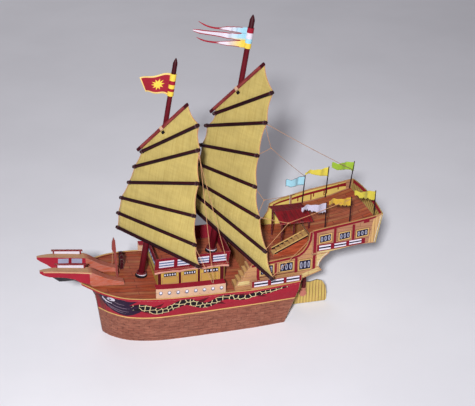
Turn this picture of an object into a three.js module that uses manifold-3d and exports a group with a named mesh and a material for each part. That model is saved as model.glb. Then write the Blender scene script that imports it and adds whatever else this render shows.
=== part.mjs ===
// Card model of a three-decked sailing junk, about 36 cm long and 34 cm high.
// Millimetres, +X towards the bow, +Y to port, +Z up. The origin is the middle of the flat hull bottom.
import * as THREE from 'three';
import { mergeVertices } from 'three/addons/utils/BufferGeometryUtils.js';
import Module from 'manifold-3d';

const wasm = await Module();
wasm.setup();

// Driving sizes
const CARD = 0.8;        // thickness of a folded card wall
const GAP = 0.3;         // glue gap kept between neighbouring pieces
const STRAKE_Z = 36;     // height of the strake between the planked bottom and the painted band
const SHOULDER = 12;     // depth of the hull's upper band below the sheer
const HULL_STEPS = 5;    // loft steps between two hull stations
const ROUND = 12;        // sides of a round rod
const DECK = { rail: 1.2, sink: 1.6, card: 1.2 };   // low rail round the main deck, deck below it, deck card

// Hull stations from stern to bow: each level of a station has its own x and half-breadth
const HULL = [
  // bottomX, bottomHalf, strakeX, strakeHalf, shoulderX, shoulderHalf, sheerX, sheerHalf, sheerZ
  [-98.5, 32, -106, 42, -108.4, 46, -109.6, 48, 59.9],
  [-68, 34.5, -70, 44, -70.5, 47.5, -70.5, 49.4, 57.7],
  [-50, 35.1, -51.5, 44.8, -52, 48, -52, 49.7, 57.3],
  [-30, 35.5, -31, 45.3, -32, 48.3, -32, 49.8, 58.1],
  [20, 36, 22, 46.5, 23, 50, 23, 51.6, 60.4],
  [47, 34.2, 50, 45.5, 52, 50.2, 53, 52, 63],
  [71, 27.5, 74, 38.5, 76, 44.5, 78, 48, 65.2],
  [87, 16.5, 90, 26, 93, 32, 98, 37, 67.8],
  [94.5, 7, 98.5, 15, 101.5, 18.5, 112, 22, 69.2],
  [97, 2.5, 101, 12, 104.5, 14, 118, 15, 69.8],
];

// Bow wings: two upswept beams that rise from thin roots on the foredeck to crimson prongs
const WING = [
  // x, inner y, outer y, inner bottom, outer bottom, top; a null bottom lies on the deck
  [74, 10, 18, null, null, 66.7],
  [84.5, 10, 18.5, null, null, 70.6],
  [94, 10, 19.5, null, null, 75],
  [101.5, 10, 20, null, null, 80],
  [107, 9.6, 20.7, null, null, 83.6],
  [110.5, 9.5, 21, 70.8, 70.8, 84.8],
  [120, 10, 20.5, 71.2, 74, 86.2],
  [125, 10, 20.3, 71, 78, 87],
  [134, 10, 20, 71.2, 81, 88.2],
  [140, 10.5, 19.5, 72, 82, 89],
  [150, 11.5, 18.5, 81, 83, 89.8],
  [156, 12.5, 17.5, 84.8, 85, 90],
  [159.6, 13.5, 16.5, 87.5, 87.5, 90],
];
const WING_RAIL = { aft: 113, fore: 142.5, height: 4.8, card: 1.2, cap: 1.1, capWidth: 2.4, over: 1.5 };
const WING_RAIL_Y = { port: 11.6, starboard: -18.6 };

// Anchor gear on the foredeck
const WINDLASS = { x: 71, y: [-15.6, -22.6], cheek: [3.4, 2, 17], barrelR: 2, barrelUp: 10, barrelOver: 1.5 };
const SPAR = { y: 0, thick: 2, shape: [
  [77.2, 64.2], [79.5, 64.2], [80.9, 92], [83.1, 97], [82.7, 105],
  [80.9, 111], [79.3, 107], [78.7, 97], [78.9, 92],
] };

// Masts: foot on its deck, length and rake aft
const FOREMAST = { foot: [53, 0, 62], length: 242, rake: 9.6, footR: 3.4, topR: 1.5 };
const MAINMAST = { foot: [-23.4, 0, 82.5], length: 260, rake: 9.1, footR: 3.6, topR: 1.5 };
const MAST_START = 1;    // bottom of a mast above its foot point
const MAST_TIP = 5;      // length of the pointed mast head
const COLLAR = { start: 1.6, height: 2.6, wall: 1.6, slack: 0.4 };

// Sails: swing is the angle from the centreline out to port, and rows are in the plane of the sail
const SAIL_OFFSET = 4.0;     // cloth's face from the mast's axis
const CLOTH = 0.5;           // thickness of the cloth
const BATTEN_R = 1.8;
const YARD = { width: 3.4, thick: 1.6, past: 5 };   // past: its lower end beyond the cloth
// Cloth edges: how far the battens stand past the edge, and its hollow between two battens
const SCALLOPED = { inset: 1.5, hollow: 2.6 };
const NEAR_STRAIGHT = { inset: 0.5, hollow: 0.6 };
const FORESAIL = {
  name: 'foresail', mast: FOREMAST, swing: 50, luff: NEAR_STRAIGHT, leech: SCALLOPED,
  rows: [
    // luffU, luffV, leechU, leechV
    [-37, 44, 74, 45],
    [-39, 60, 66, 66],
    [-38, 78, 59, 96],
    [-31, 98, 56, 131],
    [-27, 117, 50, 165],
    [-20.5, 136, 44, 189],
    [-22.4, 140, 26.5, 204.5],
  ],
};
const MAINSAIL = {
  name: 'mainsail', mast: MAINMAST, swing: 55, luff: SCALLOPED, leech: SCALLOPED,
  rows: [
    [-29.5, 39.5, 89.5, 8],
    [-36, 57, 75, 33],
    [-37.5, 70.5, 58, 65],
    [-37, 89.5, 47.5, 95],
    [-34.5, 110.5, 43, 128],
    [-31.5, 133, 45, 164.5],
    [-23, 149, 45.5, 196.5],
    [-25, 153, 28, 220],
  ],
};

// Deckhouse amidships, with a roof deck, a wavy eave and an outward-leaning balustrade
const HOUSE = { fore: 40, aft: -31.5, half: 26, wallTop: 79.6, roofTop: 82.1, eave: 4 };
const VALANCE = { waves: 3, drop: 4.6, shallow: 1.6 };
const BALUSTRADE = {
  fore: 44, aft: -35, half: 29, bottom: 82.4, top: 97, foreLean: -1.5, aftLean: 1.5, sideLean: 3,
};
const BULWARK = { fore: 47, aft: -27, height: 11.5, cap: 8.5, capCard: 0.8, foot: 1, over: 0.3 };

// Quarterdeck: side walls that close in towards the stern, with a low gallery strip on the rail
const QUARTER = { fore: -54, aft: -123, foreHalf: 45.5, aftHalf: 41, deckZ: 81.5, deckCard: 1.0, frontX: -56 };
const FLARE = [
  // the wall's concave after edge under the poop, from the counter upwards
  [-113.3, 58.6], [-136, 65.2], [-131.7, 70.2], [-132.8, 75], [-136.3, 80], [-142.8, 84.6], [-144, 87.3],
];
const UNDER_POOP = [[-130, 85.3], [-123.1, 85]];
const QUARTER_TOP = {
  // upper edge of each wall from the poop forward
  port: [[-123.1, 113.6], [-120.4, 113.2], [-119.4, 104], [-116.8, 97.5], [-112.9, 92.2], [-108.5, 88.9],
    [-103, 87.5], [-78.4, 85.8]],
  starboard: [[-123.1, 116.9], [-111.8, 113.8], [-100.3, 108.6], [-98.4, 99], [-94, 91.6], [-88, 87.4],
    [-78.4, 85.8]],
};
// forward end of each wall, stepping down to the rail beside the steps
const QUARTER_END = [
  [-56, 84.6], [-53.5, 81.8], [-51.5, 79.5], [-48.5, 75.5], [-46.5, 69.5], [-41, 66.5], [-38.2, 61],
];
const QUARTER_FOOT = [-37.6, -46, -54, -62, -70.5, -80, -90, -100, -109.5];
const GALLERY = {
  fore: -55, aft: -111, stripTop: 67.2, proud: 0.2, card: 1, ledge: 1.4, ledgeCard: 1, ledgeReach: 8,
};
const STEPS = { fore: -38.5, y0: 30, y1: 43, count: 5 };

// Poop: side walls that open out towards the raked transom
const POOP = { fore: -123.5, aft: -199, foreHalf: 40.5, aftHalf: 44.2 };
const POOP_FOOT = [[-123.5, 85.3], [-130, 85.9], [-143.3, 88], [-174, 93.2], [-191.9, 93.6]];
const POOP_TOP = {
  port: [[-198.2, 127.6], [-186, 124.4], [-167, 121], [-150, 118.4], [-123.5, 113.9]],
  starboard: [[-198.2, 127.6], [-184, 125.8], [-165, 123.6], [-145.5, 121.2], [-123.5, 117.2]],
};
const POOP_DECK = [[-123.7, 104.5], [-150, 107], [-172, 110.5], [-196, 117.4]];
const POOP_FRONT = { x: -121.8, top: 103.9 };
const TRANSOM = { bottomX: -192.4, bottomZ: 93.6, topX: -198.6, topZ: 127.8, arch: 4, half: 44.2 };
const COUNTER = [
  // outer x, outer z, inner x, inner z, half-breadth
  [-110.6, 58.9, -110.6, 59.9, 40.5],
  [-134.9, 65.6, -132.6, 66.2, 39],
  [-130.8, 70.3, -129.8, 70.2, 39],
  [-131.9, 75, -130.9, 75.4, 39],
  [-135.4, 80.2, -134.7, 81, 38.8],
  [-142, 84.9, -141.4, 85.8, 38.5],
  [-145.6, 88.6, -145.2, 89.6, 38.3],
  [-150, 90.2, -149.8, 91.2, 40.5],
  [-174, 94.2, -173.8, 95.2, 41.6],
  [-191.4, 94.6, -191.6, 95.6, 42.4],
];

// Pavilion over the poop stairs, with a low gable roof
const PAVILION = { fore: -93.5, aft: -130, half: 22, eaveZ: 115.2, ridgeZ: 119.2, card: 1 };
const PAVILION_POSTS = { x: [-96.5, -110, -126.5], y: 17.5, r: 1, beam: 2, beamHalf: 0.8, top: 115.4 };
const STAIRS = { fore: -84, aft: -121.4, y0: 20, y1: 30, count: 8 };

// Stern flags: six poles along the poop's bulwarks, with the flags streaming forward
const FLAG = { poleR: 0.7, card: 0.6, inset: 2, below: 1, wave: 0.7, taper: 0.22, steps: 6 };
const STERN_FLAGS = [
  // name, side, foot x, top x, top z, flag length, flag height, droop, look
  ['port_fore', 1, -136.6, -137.4, 145.6, 28, 12, -3, 'white'],
  ['port_mid', 1, -163.4, -164, 149.6, 25, 10.5, -3, 'orange'],
  ['port_aft', 1, -190, -190, 154.7, 23, 12, -5, 'yellow'],
  ['starboard_fore', -1, -137.6, -139.8, 140.6, 22, 11, 2, 'blue'],
  ['starboard_mid', -1, -165.1, -167.6, 147.6, 28, 9.6, -2, 'yellow'],
  ['starboard_aft', -1, -194, -198, 150.4, 26, 10.5, -2.5, 'green'],
];
const MAST_FLAG = { slack: 0.3, sleeve: 0.6, card: 0.6 };
const FORE_FLAG = { low: 203, high: 227, shape: [
  [-2.1, 203], [-25.5, 204.4], [-33.6, 218.4], [-16, 222.4], [-2.1, 226],
] };
const PENNANT = { low: 226, high: 247, shape: [
  [-2.1, 226], [-30, 226.5], [-54.7, 229], [-44, 233.2], [-59, 239], [-45, 241.4], [-54.7, 247.6], [-30, 246.8],
  [-2.1, 247],
] };

// Rudder: a balanced blade in a slotted stock, carried by an arm from the stern post
const RUDDER = { axisX: -130, stockR: 3, stockLow: 13, stockTop: 57, card: 1.2, bladeTop: 29.5, slot: 10 };
const RUDDER_BLADE = [
  [-111.5, 0.8], [-156.4, 0.8], [-157.4, 3], [-157.4, 11.4], [-155.7, 20.5], [-151.8, 27.1], [-145.8, 29.3],
  [-137.7, 27.6], [-128, 28], [-113.5, 28.4],
];
const RUDDER_DISC = { x: -128.6, z: 15.6, r: 4, reach: 3.6 };
const STERN_POST = { half: 1.5, profile: [
  [-99.2, 1], [-106.4, STRAKE_Z], [-109, 48], [-110, 57], [-113, 57], [-110.6, STRAKE_Z], [-103.4, 1],
] };
const ARM = { low: 40, high: 44, half: 2, ringR: 5.2, from: -110 };

// Colours and surface finish
const LOOK = {
  planks: { color: 0x96624b, roughness: 0.7, metalness: 0 },
  deck: { color: 0xa0633f, roughness: 0.7, metalness: 0 },
  crimson: { color: 0xb4283f, roughness: 0.6, metalness: 0 },
  yellow: { color: 0xd9c07a, roughness: 0.7, metalness: 0 },
  tan: { color: 0xd8b07c, roughness: 0.7, metalness: 0 },
  darkwood: { color: 0x5c1d26, roughness: 0.6, metalness: 0 },
  batten: { color: 0x421420, roughness: 0.6, metalness: 0 },
  cloth: { color: 0xcdb973, roughness: 0.9, metalness: 0 },
  white: { color: 0xe8e4e0, roughness: 0.8, metalness: 0 },
  blue: { color: 0x8ccde6, roughness: 0.8, metalness: 0 },
  green: { color: 0xa0cd3c, roughness: 0.8, metalness: 0 },
  orange: { color: 0xf0be3c, roughness: 0.8, metalness: 0 },
};

const model = new THREE.Group();

// Geometry helpers
function signedVolume(geometry) {
  const p = geometry.attributes.position;
  const index = geometry.index;
  const [a, b, c] = [new THREE.Vector3(), new THREE.Vector3(), new THREE.Vector3()];
  let volume = 0;
  for (let i = 0; i < index.count; i += 3) {
    a.fromBufferAttribute(p, index.getX(i));
    b.fromBufferAttribute(p, index.getX(i + 1));
    c.fromBufferAttribute(p, index.getX(i + 2));
    volume += a.dot(b.cross(c)) / 6;
  }
  return volume;
}

function closed(geometry) {
  const bare = geometry.clone();
  bare.deleteAttribute('normal');
  bare.deleteAttribute('uv');
  const merged = mergeVertices(bare, 1e-4);
  if (signedVolume(merged) < 0) {
    const index = merged.index.array;
    for (let i = 0; i < index.length; i += 3) {
      [index[i + 1], index[i + 2]] = [index[i + 2], index[i + 1]];
    }
  }
  merged.computeVertexNormals();
  return merged;
}

function toManifold(geometry) {
  const whole = closed(geometry);
  return new wasm.Manifold(new wasm.Mesh({
    numProp: 3,
    vertProperties: new Float32Array(whole.attributes.position.array),
    triVerts: new Uint32Array(whole.index.array),
  }));
}

function fromManifold(solid) {
  const mesh = solid.getMesh();
  const geometry = new THREE.BufferGeometry();
  geometry.setAttribute('position', new THREE.BufferAttribute(mesh.vertProperties, 3));
  geometry.setIndex(new THREE.BufferAttribute(mesh.triVerts, 1));
  return geometry;
}

function join(...geometries) {
  return fromManifold(geometries.map(toManifold).reduce((sum, next) => sum.add(next)));
}

function cut(geometry, ...tools) {
  return fromManifold(tools.map(toManifold).reduce((rest, tool) => rest.subtract(tool), toManifold(geometry)));
}

function loft(rings) {
  const positions = rings.flat().flat();
  const n = rings[0].length;
  const faces = [];
  for (let s = 0; s < rings.length - 1; s += 1) {
    for (let i = 0; i < n; i += 1) {
      const a = s * n + i;
      const b = s * n + (i + 1) % n;
      faces.push(a, b, b + n, a, b + n, a + n);
    }
  }
  const last = (rings.length - 1) * n;
  for (const [ring, base, ahead] of [[rings[0], 0, false], [rings.at(-1), last, true]]) {
    const flat = ring.map(([, y, z]) => new THREE.Vector2(y, z));
    const turn = THREE.ShapeUtils.area(flat);
    for (const [a, b, c] of THREE.ShapeUtils.triangulateShape(flat, [])) {
      const same = THREE.ShapeUtils.area([flat[a], flat[b], flat[c]]) * turn > 0;
      const [j, k] = same === ahead ? [b, c] : [c, b];
      faces.push(base + a, base + j, base + k);
    }
  }
  const geometry = new THREE.BufferGeometry();
  geometry.setAttribute('position', new THREE.Float32BufferAttribute(positions, 3));
  geometry.setIndex(faces);
  return geometry;
}

function outline(points) {
  return new THREE.Shape(points.map(([a, b]) => new THREE.Vector2(a, b)));
}

const PLATE = { bevelEnabled: false, curveSegments: 8 };

// A shape drawn in (x, z) and made solid from y down to y - thickness
function sidePlate(shape, y, thickness) {
  const geometry = new THREE.ExtrudeGeometry(shape, { ...PLATE, depth: thickness });
  return geometry.rotateX(Math.PI / 2).translate(0, y, 0);
}

// A shape drawn in (y, z) and made solid from x to x + thickness
function crossPlate(shape, x, thickness) {
  const geometry = new THREE.ExtrudeGeometry(shape, { ...PLATE, depth: thickness });
  const basis = new THREE.Matrix4().makeBasis(
    new THREE.Vector3(0, 1, 0), new THREE.Vector3(0, 0, 1), new THREE.Vector3(1, 0, 0));
  return geometry.applyMatrix4(basis).translate(x, 0, 0);
}

function box(low, high) {
  const size = high.map((value, i) => value - low[i]);
  const middle = high.map((value, i) => (value + low[i]) / 2);
  return new THREE.BoxGeometry(...size).translate(...middle);
}

function rod(from, to, startR, endR, sides = ROUND) {
  const a = new THREE.Vector3(...from);
  const b = new THREE.Vector3(...to);
  const along = b.clone().sub(a);
  const geometry = new THREE.CylinderGeometry(endR, startR, along.length(), sides, 1);
  geometry.translate(0, along.length() / 2, 0);
  const turn = new THREE.Quaternion().setFromUnitVectors(new THREE.Vector3(0, 1, 0), along.normalize());
  return geometry.applyQuaternion(turn).translate(a.x, a.y, a.z);
}

// A round sleeve about the y axis
function tube(inner, outer, low, high) {
  const profile = [[inner, low], [outer, low], [outer, high], [inner, high], [inner, low]];
  return new THREE.LatheGeometry(profile.map(([r, y]) => new THREE.Vector2(r, y)), ROUND);
}

function add(name, geometry, look, parent = model) {
  const mesh = new THREE.Mesh(closed(geometry), new THREE.MeshStandardMaterial(LOOK[look]));
  mesh.name = name;
  parent.add(mesh);
}

// Hull and main deck
function smooth(p0, p1, p2, p3, t) {
  return p1.map((_, i) => 0.5 * (2 * p1[i] + (p2[i] - p0[i]) * t
    + (2 * p0[i] - 5 * p1[i] + 4 * p2[i] - p3[i]) * t * t
    + (3 * p1[i] - p0[i] - 3 * p2[i] + p3[i]) * t * t * t));
}

function hullStations() {
  const rows = [];
  for (let s = 0; s < HULL.length - 1; s += 1) {
    const before = HULL[Math.max(s - 1, 0)];
    const after = HULL[Math.min(s + 2, HULL.length - 1)];
    for (let k = 0; k < HULL_STEPS; k += 1) {
      rows.push(smooth(before, HULL[s], HULL[s + 1], after, k / HULL_STEPS));
    }
  }
  rows.push(HULL.at(-1));
  return rows;
}

const STATIONS = hullStations();

function sheerAt(x) {
  const i = STATIONS.findIndex((row) => row[6] >= x);
  const [a, b] = [STATIONS[Math.max(i - 1, 0)], STATIONS[Math.max(i, 1)]];
  const t = (x - a[6]) / (b[6] - a[6]);
  return { half: a[7] + (b[7] - a[7]) * t, z: a[8] + (b[8] - a[8]) * t };
}

const deckTopAt = (x) => sheerAt(x).z - DECK.sink;

function hullGeometry() {
  const below = DECK.sink + DECK.card + GAP;
  const t = below / SHOULDER;
  return loft(STATIONS.map(([x0, h0, x1, h1, x2, h2, x3, h3, z3]) => {
    const [x, half] = [x3 + (x2 - x3) * t, h3 + (h2 - h3) * t];
    const top = sheerAt(x).z - below;
    return [
      [x0, h0, 0], [x1, h1, STRAKE_Z], [x2, h2, z3 - SHOULDER], [x, half, top],
      [x, -half, top], [x2, -h2, z3 - SHOULDER], [x1, -h1, STRAKE_Z], [x0, -h0, 0],
    ];
  }));
}

// The main deck is a tray with a low rail along both sides
function deckGeometry() {
  return loft(STATIONS.map((row) => {
    const [x, half, z] = row.slice(6);
    const [inner, top, low] = [half - DECK.rail, z - DECK.sink, z - DECK.sink - DECK.card];
    return [
      [x, half, low], [x, half, z], [x, inner, z], [x, inner, top],
      [x, -inner, top], [x, -inner, z], [x, -half, z], [x, -half, low],
    ];
  }));
}

// Everything below the main deck's surface, for trimming what stands on it
function belowDeck() {
  const reach = 2 * QUARTER.foreHalf;
  return loft(STATIONS.map((row) => {
    const top = row[8] - DECK.sink + GAP;
    return [[row[6], reach, -1], [row[6], reach, top], [row[6], -reach, top], [row[6], -reach, -1]];
  }));
}

add('hull', hullGeometry(), 'planks');
add('main_deck', deckGeometry(), 'deck');

// Bow wings and their rails
function wingGeometry(side) {
  return loft(WING.map(([x, inner, outer, innerLow, outerLow, top]) => {
    const deck = deckTopAt(Math.min(x, HULL.at(-1)[6])) + GAP;
    return [
      [x, side * inner, innerLow ?? deck], [x, side * inner, top],
      [x, side * outer, top], [x, side * outer, outerLow ?? deck],
    ];
  }));
}

function wingTopAt(x) {
  const i = Math.max(WING.findIndex((row) => row[0] >= x), 1);
  const t = (x - WING[i - 1][0]) / (WING[i][0] - WING[i - 1][0]);
  return WING[i - 1][5] + (WING[i][5] - WING[i - 1][5]) * t;
}

function wingRail(y) {
  const { aft, fore, height, card, cap, capWidth, over } = WING_RAIL;
  const bends = WING.map((row) => row[0]).filter((x) => x > aft && x < fore);
  const foot = [aft, ...bends, fore].map((x) => [x, wingTopAt(x) + GAP]);
  const [aftTop, foreTop] = [wingTopAt(aft) + height, wingTopAt(fore) + height];
  const panel = outline([...foot, [fore, foreTop], [aft, aftTop]]);
  const bar = outline([
    [aft - over, aftTop - cap], [fore + over, foreTop - cap], [fore + over, foreTop], [aft - over, aftTop],
  ]);
  return join(sidePlate(panel, y + card / 2, card), sidePlate(bar, y + capWidth / 2, capWidth));
}

for (const [side, word] of [[1, 'port'], [-1, 'starboard']]) {
  add(`bow_wing_${word}`, wingGeometry(side), 'crimson');
  add(`bow_rail_${word}`, wingRail(WING_RAIL_Y[word]), 'white');
}

// Anchor gear: a windlass with two cheeks and a barrel, and a standing spar
function windlassGeometry() {
  const { x, y, cheek, barrelR, barrelUp, barrelOver } = WINDLASS;
  const [length, width, height] = cheek;
  const foot = deckTopAt(x + length) + GAP;
  const cheeks = y.map((at) => box(
    [x - length / 2, at - width / 2, foot], [x + length / 2, at + width / 2, foot + height]));
  const mid = foot + barrelUp;
  const barrel = rod([x, y[1] - barrelOver, mid], [x, y[0] + barrelOver, mid], barrelR, barrelR);
  return join(...cheeks, barrel);
}
add('windlass', windlassGeometry(), 'darkwood');
add('anchor_spar', sidePlate(outline(SPAR.shape), SPAR.y + SPAR.thick / 2, SPAR.thick), 'darkwood');

// A plate that follows the main deck's rail, between two insets from the sheer
function railPlate({ fore, aft }, side, inner, outer, low, high) {
  const steps = 8;
  return loft(Array.from({ length: steps + 1 }, (_, k) => {
    const x = aft + (fore - aft) * k / steps;
    const { half, z } = sheerAt(Math.max(x, HULL[0][6]));
    return [
      [x, side * (half - outer), low(z)], [x, side * (half - outer), high(z)],
      [x, side * (half - inner), high(z)], [x, side * (half - inner), low(z)],
    ];
  }));
}

// Midship bulwarks: a panel on the rail with a flat cap
function bulwarkGeometry(side) {
  const { height, cap, capCard, foot, over } = BULWARK;
  const rise = capCard / 2;
  const panel = railPlate(BULWARK, side, foot, 0, (z) => z + GAP, (z) => z + height);
  const lid = railPlate(BULWARK, side, cap, -over, (z) => z + height - rise, (z) => z + height + rise);
  return join(panel, lid);
}
add('midship_bulwark_port', bulwarkGeometry(1), 'white');
add('midship_bulwark_starboard', bulwarkGeometry(-1), 'white');

// Deckhouse
function ringShape(fore, aft, half, wall) {
  const shape = outline([[aft, -half], [fore, -half], [fore, half], [aft, half]]);
  shape.holes.push(new THREE.Path([
    new THREE.Vector2(aft + wall, -half + wall), new THREE.Vector2(aft + wall, half - wall),
    new THREE.Vector2(fore - wall, half - wall), new THREE.Vector2(fore - wall, -half + wall),
  ]));
  return shape;
}

function houseWalls() {
  const low = STRAKE_Z;
  const shape = ringShape(HOUSE.fore, HOUSE.aft, HOUSE.half, CARD);
  const blank = new THREE.ExtrudeGeometry(shape, { depth: HOUSE.wallTop - low, bevelEnabled: false });
  return cut(blank.translate(0, 0, low), belowDeck());
}

function valance(side) {
  const { fore, aft, half, eave, roofTop } = HOUSE;
  const [x0, x1] = [aft - eave, fore + eave];
  const shape = new THREE.Shape();
  shape.moveTo(x0, roofTop - GAP);
  shape.lineTo(x0, roofTop - VALANCE.drop);
  const run = (x1 - x0) / VALANCE.waves;
  for (let i = 0; i < VALANCE.waves; i += 1) {
    const from = x0 + run * i;
    shape.quadraticCurveTo(from + run / 2, roofTop - VALANCE.shallow, from + run, roofTop - VALANCE.drop);
  }
  shape.lineTo(x1, roofTop - GAP);
  return sidePlate(shape, side * (half + eave) + (side > 0 ? 0 : CARD), CARD);
}

function roofGeometry() {
  const { fore, aft, half, eave, wallTop, roofTop } = HOUSE;
  const slab = box([aft - eave, -half - eave, wallTop + GAP], [fore + eave, half + eave, roofTop]);
  return join(slab, valance(1), valance(-1));
}

function balustradeGeometry() {
  const { fore, aft, half, bottom, top, foreLean, aftLean, sideLean } = BALUSTRADE;
  const corners = (inset, lean, z) => {
    const [x0, x1] = [aft - aftLean * lean + inset, fore + foreLean * lean - inset];
    const y = half + sideLean * lean - inset;
    return [[x0, -y, z], [x1, -y, z], [x1, y, z], [x0, y, z]];
  };
  const rings = [corners(0, 0, bottom), corners(0, 1, top), corners(CARD, 1, top), corners(CARD, 0, bottom)];
  const faces = [];
  for (let r = 0; r < rings.length; r += 1) {
    for (let i = 0; i < 4; i += 1) {
      const next = (i + 1) % 4;
      const after = (r + 1) % rings.length;
      const [a, b, c, d] = [r * 4 + i, r * 4 + next, after * 4 + next, after * 4 + i];
      faces.push(a, b, c, a, c, d);
    }
  }
  const geometry = new THREE.BufferGeometry();
  geometry.setAttribute('position', new THREE.Float32BufferAttribute(rings.flat().flat(), 3));
  geometry.setIndex(faces);
  return geometry;
}

add('deckhouse_walls', houseWalls(), 'yellow');
add('deckhouse_roof', roofGeometry(), 'deck');
add('deckhouse_balustrade', balustradeGeometry(), 'crimson');

// Masts and their collars
function mastFrame(mast, swing) {
  const rake = THREE.MathUtils.degToRad(mast.rake);
  const up = new THREE.Vector3(-Math.sin(rake), 0, Math.cos(rake));
  const turn = THREE.MathUtils.degToRad(swing);
  const chord = new THREE.Vector3(-Math.cos(turn), Math.sin(turn), 0);
  chord.addScaledVector(up, -chord.dot(up)).normalize();
  const group = new THREE.Group();
  const basis = new THREE.Matrix4().makeBasis(chord, up, new THREE.Vector3().crossVectors(chord, up));
  group.quaternion.setFromRotationMatrix(basis);
  group.position.set(...mast.foot);
  model.add(group);
  return group;
}

function mastRadius(mast, v) {
  return mast.footR + (mast.topR - mast.footR) * v / mast.length;
}

function mastGeometry(mast) {
  const profile = [
    new THREE.Vector2(0, MAST_START),
    new THREE.Vector2(mast.footR, MAST_START),
    new THREE.Vector2(mast.topR, mast.length - MAST_TIP),
    new THREE.Vector2(0, mast.length),
  ];
  return new THREE.LatheGeometry(profile, ROUND);
}

function collarGeometry(mast) {
  const inner = mast.footR + COLLAR.slack;
  const outer = inner + COLLAR.wall;
  const high = COLLAR.start + COLLAR.height;
  return tube(inner, outer, COLLAR.start, high);
}

for (const [mast, word] of [[FOREMAST, 'foremast'], [MAINMAST, 'mainmast']]) {
  const frame = mastFrame(mast, 0);
  add(word, mastGeometry(mast), 'darkwood', frame);
  add(`${word}_collar`, collarGeometry(mast), 'batten', frame);
}

// Sails: scalloped cloth with the boom, the battens and the yard on its port face
function clothOutline(sail) {
  const ends = sail.rows.map(([u0, v0, u1, v1]) => {
    const length = Math.hypot(u1 - u0, v1 - v0);
    const [du, dv] = [(u1 - u0) / length, (v1 - v0) / length];
    const [fore, aft] = [sail.luff.inset, sail.leech.inset];
    return { luff: [u0 + du * fore, v0 + dv * fore], leech: [u1 - du * aft, v1 - dv * aft] };
  });
  const shape = new THREE.Shape();
  const edge = (points, { hollow }) => {
    for (let i = 1; i < points.length; i += 1) {
      const [a, b] = [points[i - 1], points[i]];
      const length = Math.hypot(b[0] - a[0], b[1] - a[1]);
      const bow = 2 * Math.min(hollow, length / 8) / length;
      const [midU, midV] = [(a[0] + b[0]) / 2, (a[1] + b[1]) / 2];
      shape.quadraticCurveTo(midU + (b[1] - a[1]) * bow, midV - (b[0] - a[0]) * bow, ...b);
    }
  };
  const luff = ends.map((end) => end.luff);
  const leech = ends.map((end) => end.leech).reverse();
  shape.moveTo(...leech.at(-1));
  shape.lineTo(...luff[0]);
  edge(luff, sail.luff);
  shape.lineTo(...leech[0]);
  edge(leech, sail.leech);
  return shape;
}

function addSail(sail) {
  const frame = mastFrame(sail.mast, sail.swing);
  const extrude = { depth: CLOTH, bevelEnabled: false, curveSegments: 6 };
  const cloth = new THREE.ExtrudeGeometry(clothOutline(sail), extrude);
  add(`${sail.name}_cloth`, cloth.translate(0, 0, SAIL_OFFSET), 'cloth', frame);
  const face = SAIL_OFFSET + CLOTH + GAP;
  sail.rows.forEach(([u0, v0, u1, v1], i) => {
    const isYard = i === sail.rows.length - 1;
    const name = i === 0 ? `${sail.name}_boom` : isYard ? `${sail.name}_yard` : `${sail.name}_batten_${i}`;
    if (isYard) {
      const length = Math.hypot(u1 - u0, v1 - v0) + YARD.past;
      const bar = new THREE.BoxGeometry(length, YARD.width, YARD.thick);
      bar.translate(length / 2 - YARD.past, 0, face + YARD.thick / 2);
      bar.rotateZ(Math.atan2(v1 - v0, u1 - u0));
      bar.translate(u0, v0, 0);
      add(name, bar, 'darkwood', frame);
    } else {
      const n = face + BATTEN_R;
      add(name, rod([u0, v0, n], [u1, v1, n], BATTEN_R, BATTEN_R), 'batten', frame);
    }
  });
}
addSail(FORESAIL);
addSail(MAINSAIL);

// Side walls are drawn in (x, z) and sheared so that they close in or open out towards the stern
function halfAt({ fore, aft, foreHalf, aftHalf }, x) {
  return foreHalf + (aftHalf - foreHalf) * (x - fore) / (aft - fore);
}

function sheared(geometry, level, side) {
  const slope = halfAt(level, 1) - halfAt(level, 0);
  const shear = new THREE.Matrix4().set(
    1, 0, 0, 0,
    side * slope, 1, 0, side * halfAt(level, 0),
    0, 0, 1, 0,
    0, 0, 0, 1,
  );
  return geometry.applyMatrix4(shear);
}

function sideWall(points, level, side) {
  return sheared(sidePlate(outline(points), side > 0 ? 0 : CARD, CARD), level, side);
}

const insideAt = (level, x) => halfAt(level, x) - CARD - GAP;

function quarterSide(side, top) {
  const foot = QUARTER_FOOT.map((x) => [x, deckTopAt(x) + GAP]);
  const wall = sideWall([...foot, ...FLARE, ...UNDER_POOP, ...top, ...QUARTER_END], QUARTER, side);
  const { fore, aft, proud, card, ledge, ledgeCard, ledgeReach, stripTop } = GALLERY;
  const strip = railPlate(GALLERY, side, proud + card, proud, (z) => z + GAP, () => stripTop);
  const shelf = railPlate(
    { fore, aft: HULL[0][6] }, side, ledgeReach, proud + card / 2, (z) => z + ledge, (z) => z + ledge + ledgeCard);
  const inside = outline([[fore + 1, STRAKE_Z], [aft - 1, STRAKE_Z], [aft - 1, stripTop], [fore + 1, stripTop]]);
  const trim = sidePlate(inside, side > 0 ? -CARD / 2 : QUARTER.aftHalf, QUARTER.aftHalf - CARD / 2);
  return join(wall, cut(join(strip, shelf), sheared(trim, QUARTER, side)));
}

add('quarter_side_port', quarterSide(1, QUARTER_TOP.port), 'tan');
add('quarter_side_starboard', quarterSide(-1, QUARTER_TOP.starboard), 'tan');

// A deck plate through points (x, z) between two side walls
function deckPlate(points, level, card) {
  return loft(points.map(([x, z]) => {
    const half = insideAt(level, x);
    return [[x, half, z - card], [x, half, z], [x, -half, z], [x, -half, z - card]];
  }));
}

const quarterTop = QUARTER.deckZ + QUARTER.deckCard;
const quarterEnds = [[QUARTER.fore, quarterTop], [POOP_FRONT.x + GAP, quarterTop]];
add('quarter_deck', deckPlate(quarterEnds, QUARTER, QUARTER.deckCard), 'deck');

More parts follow.
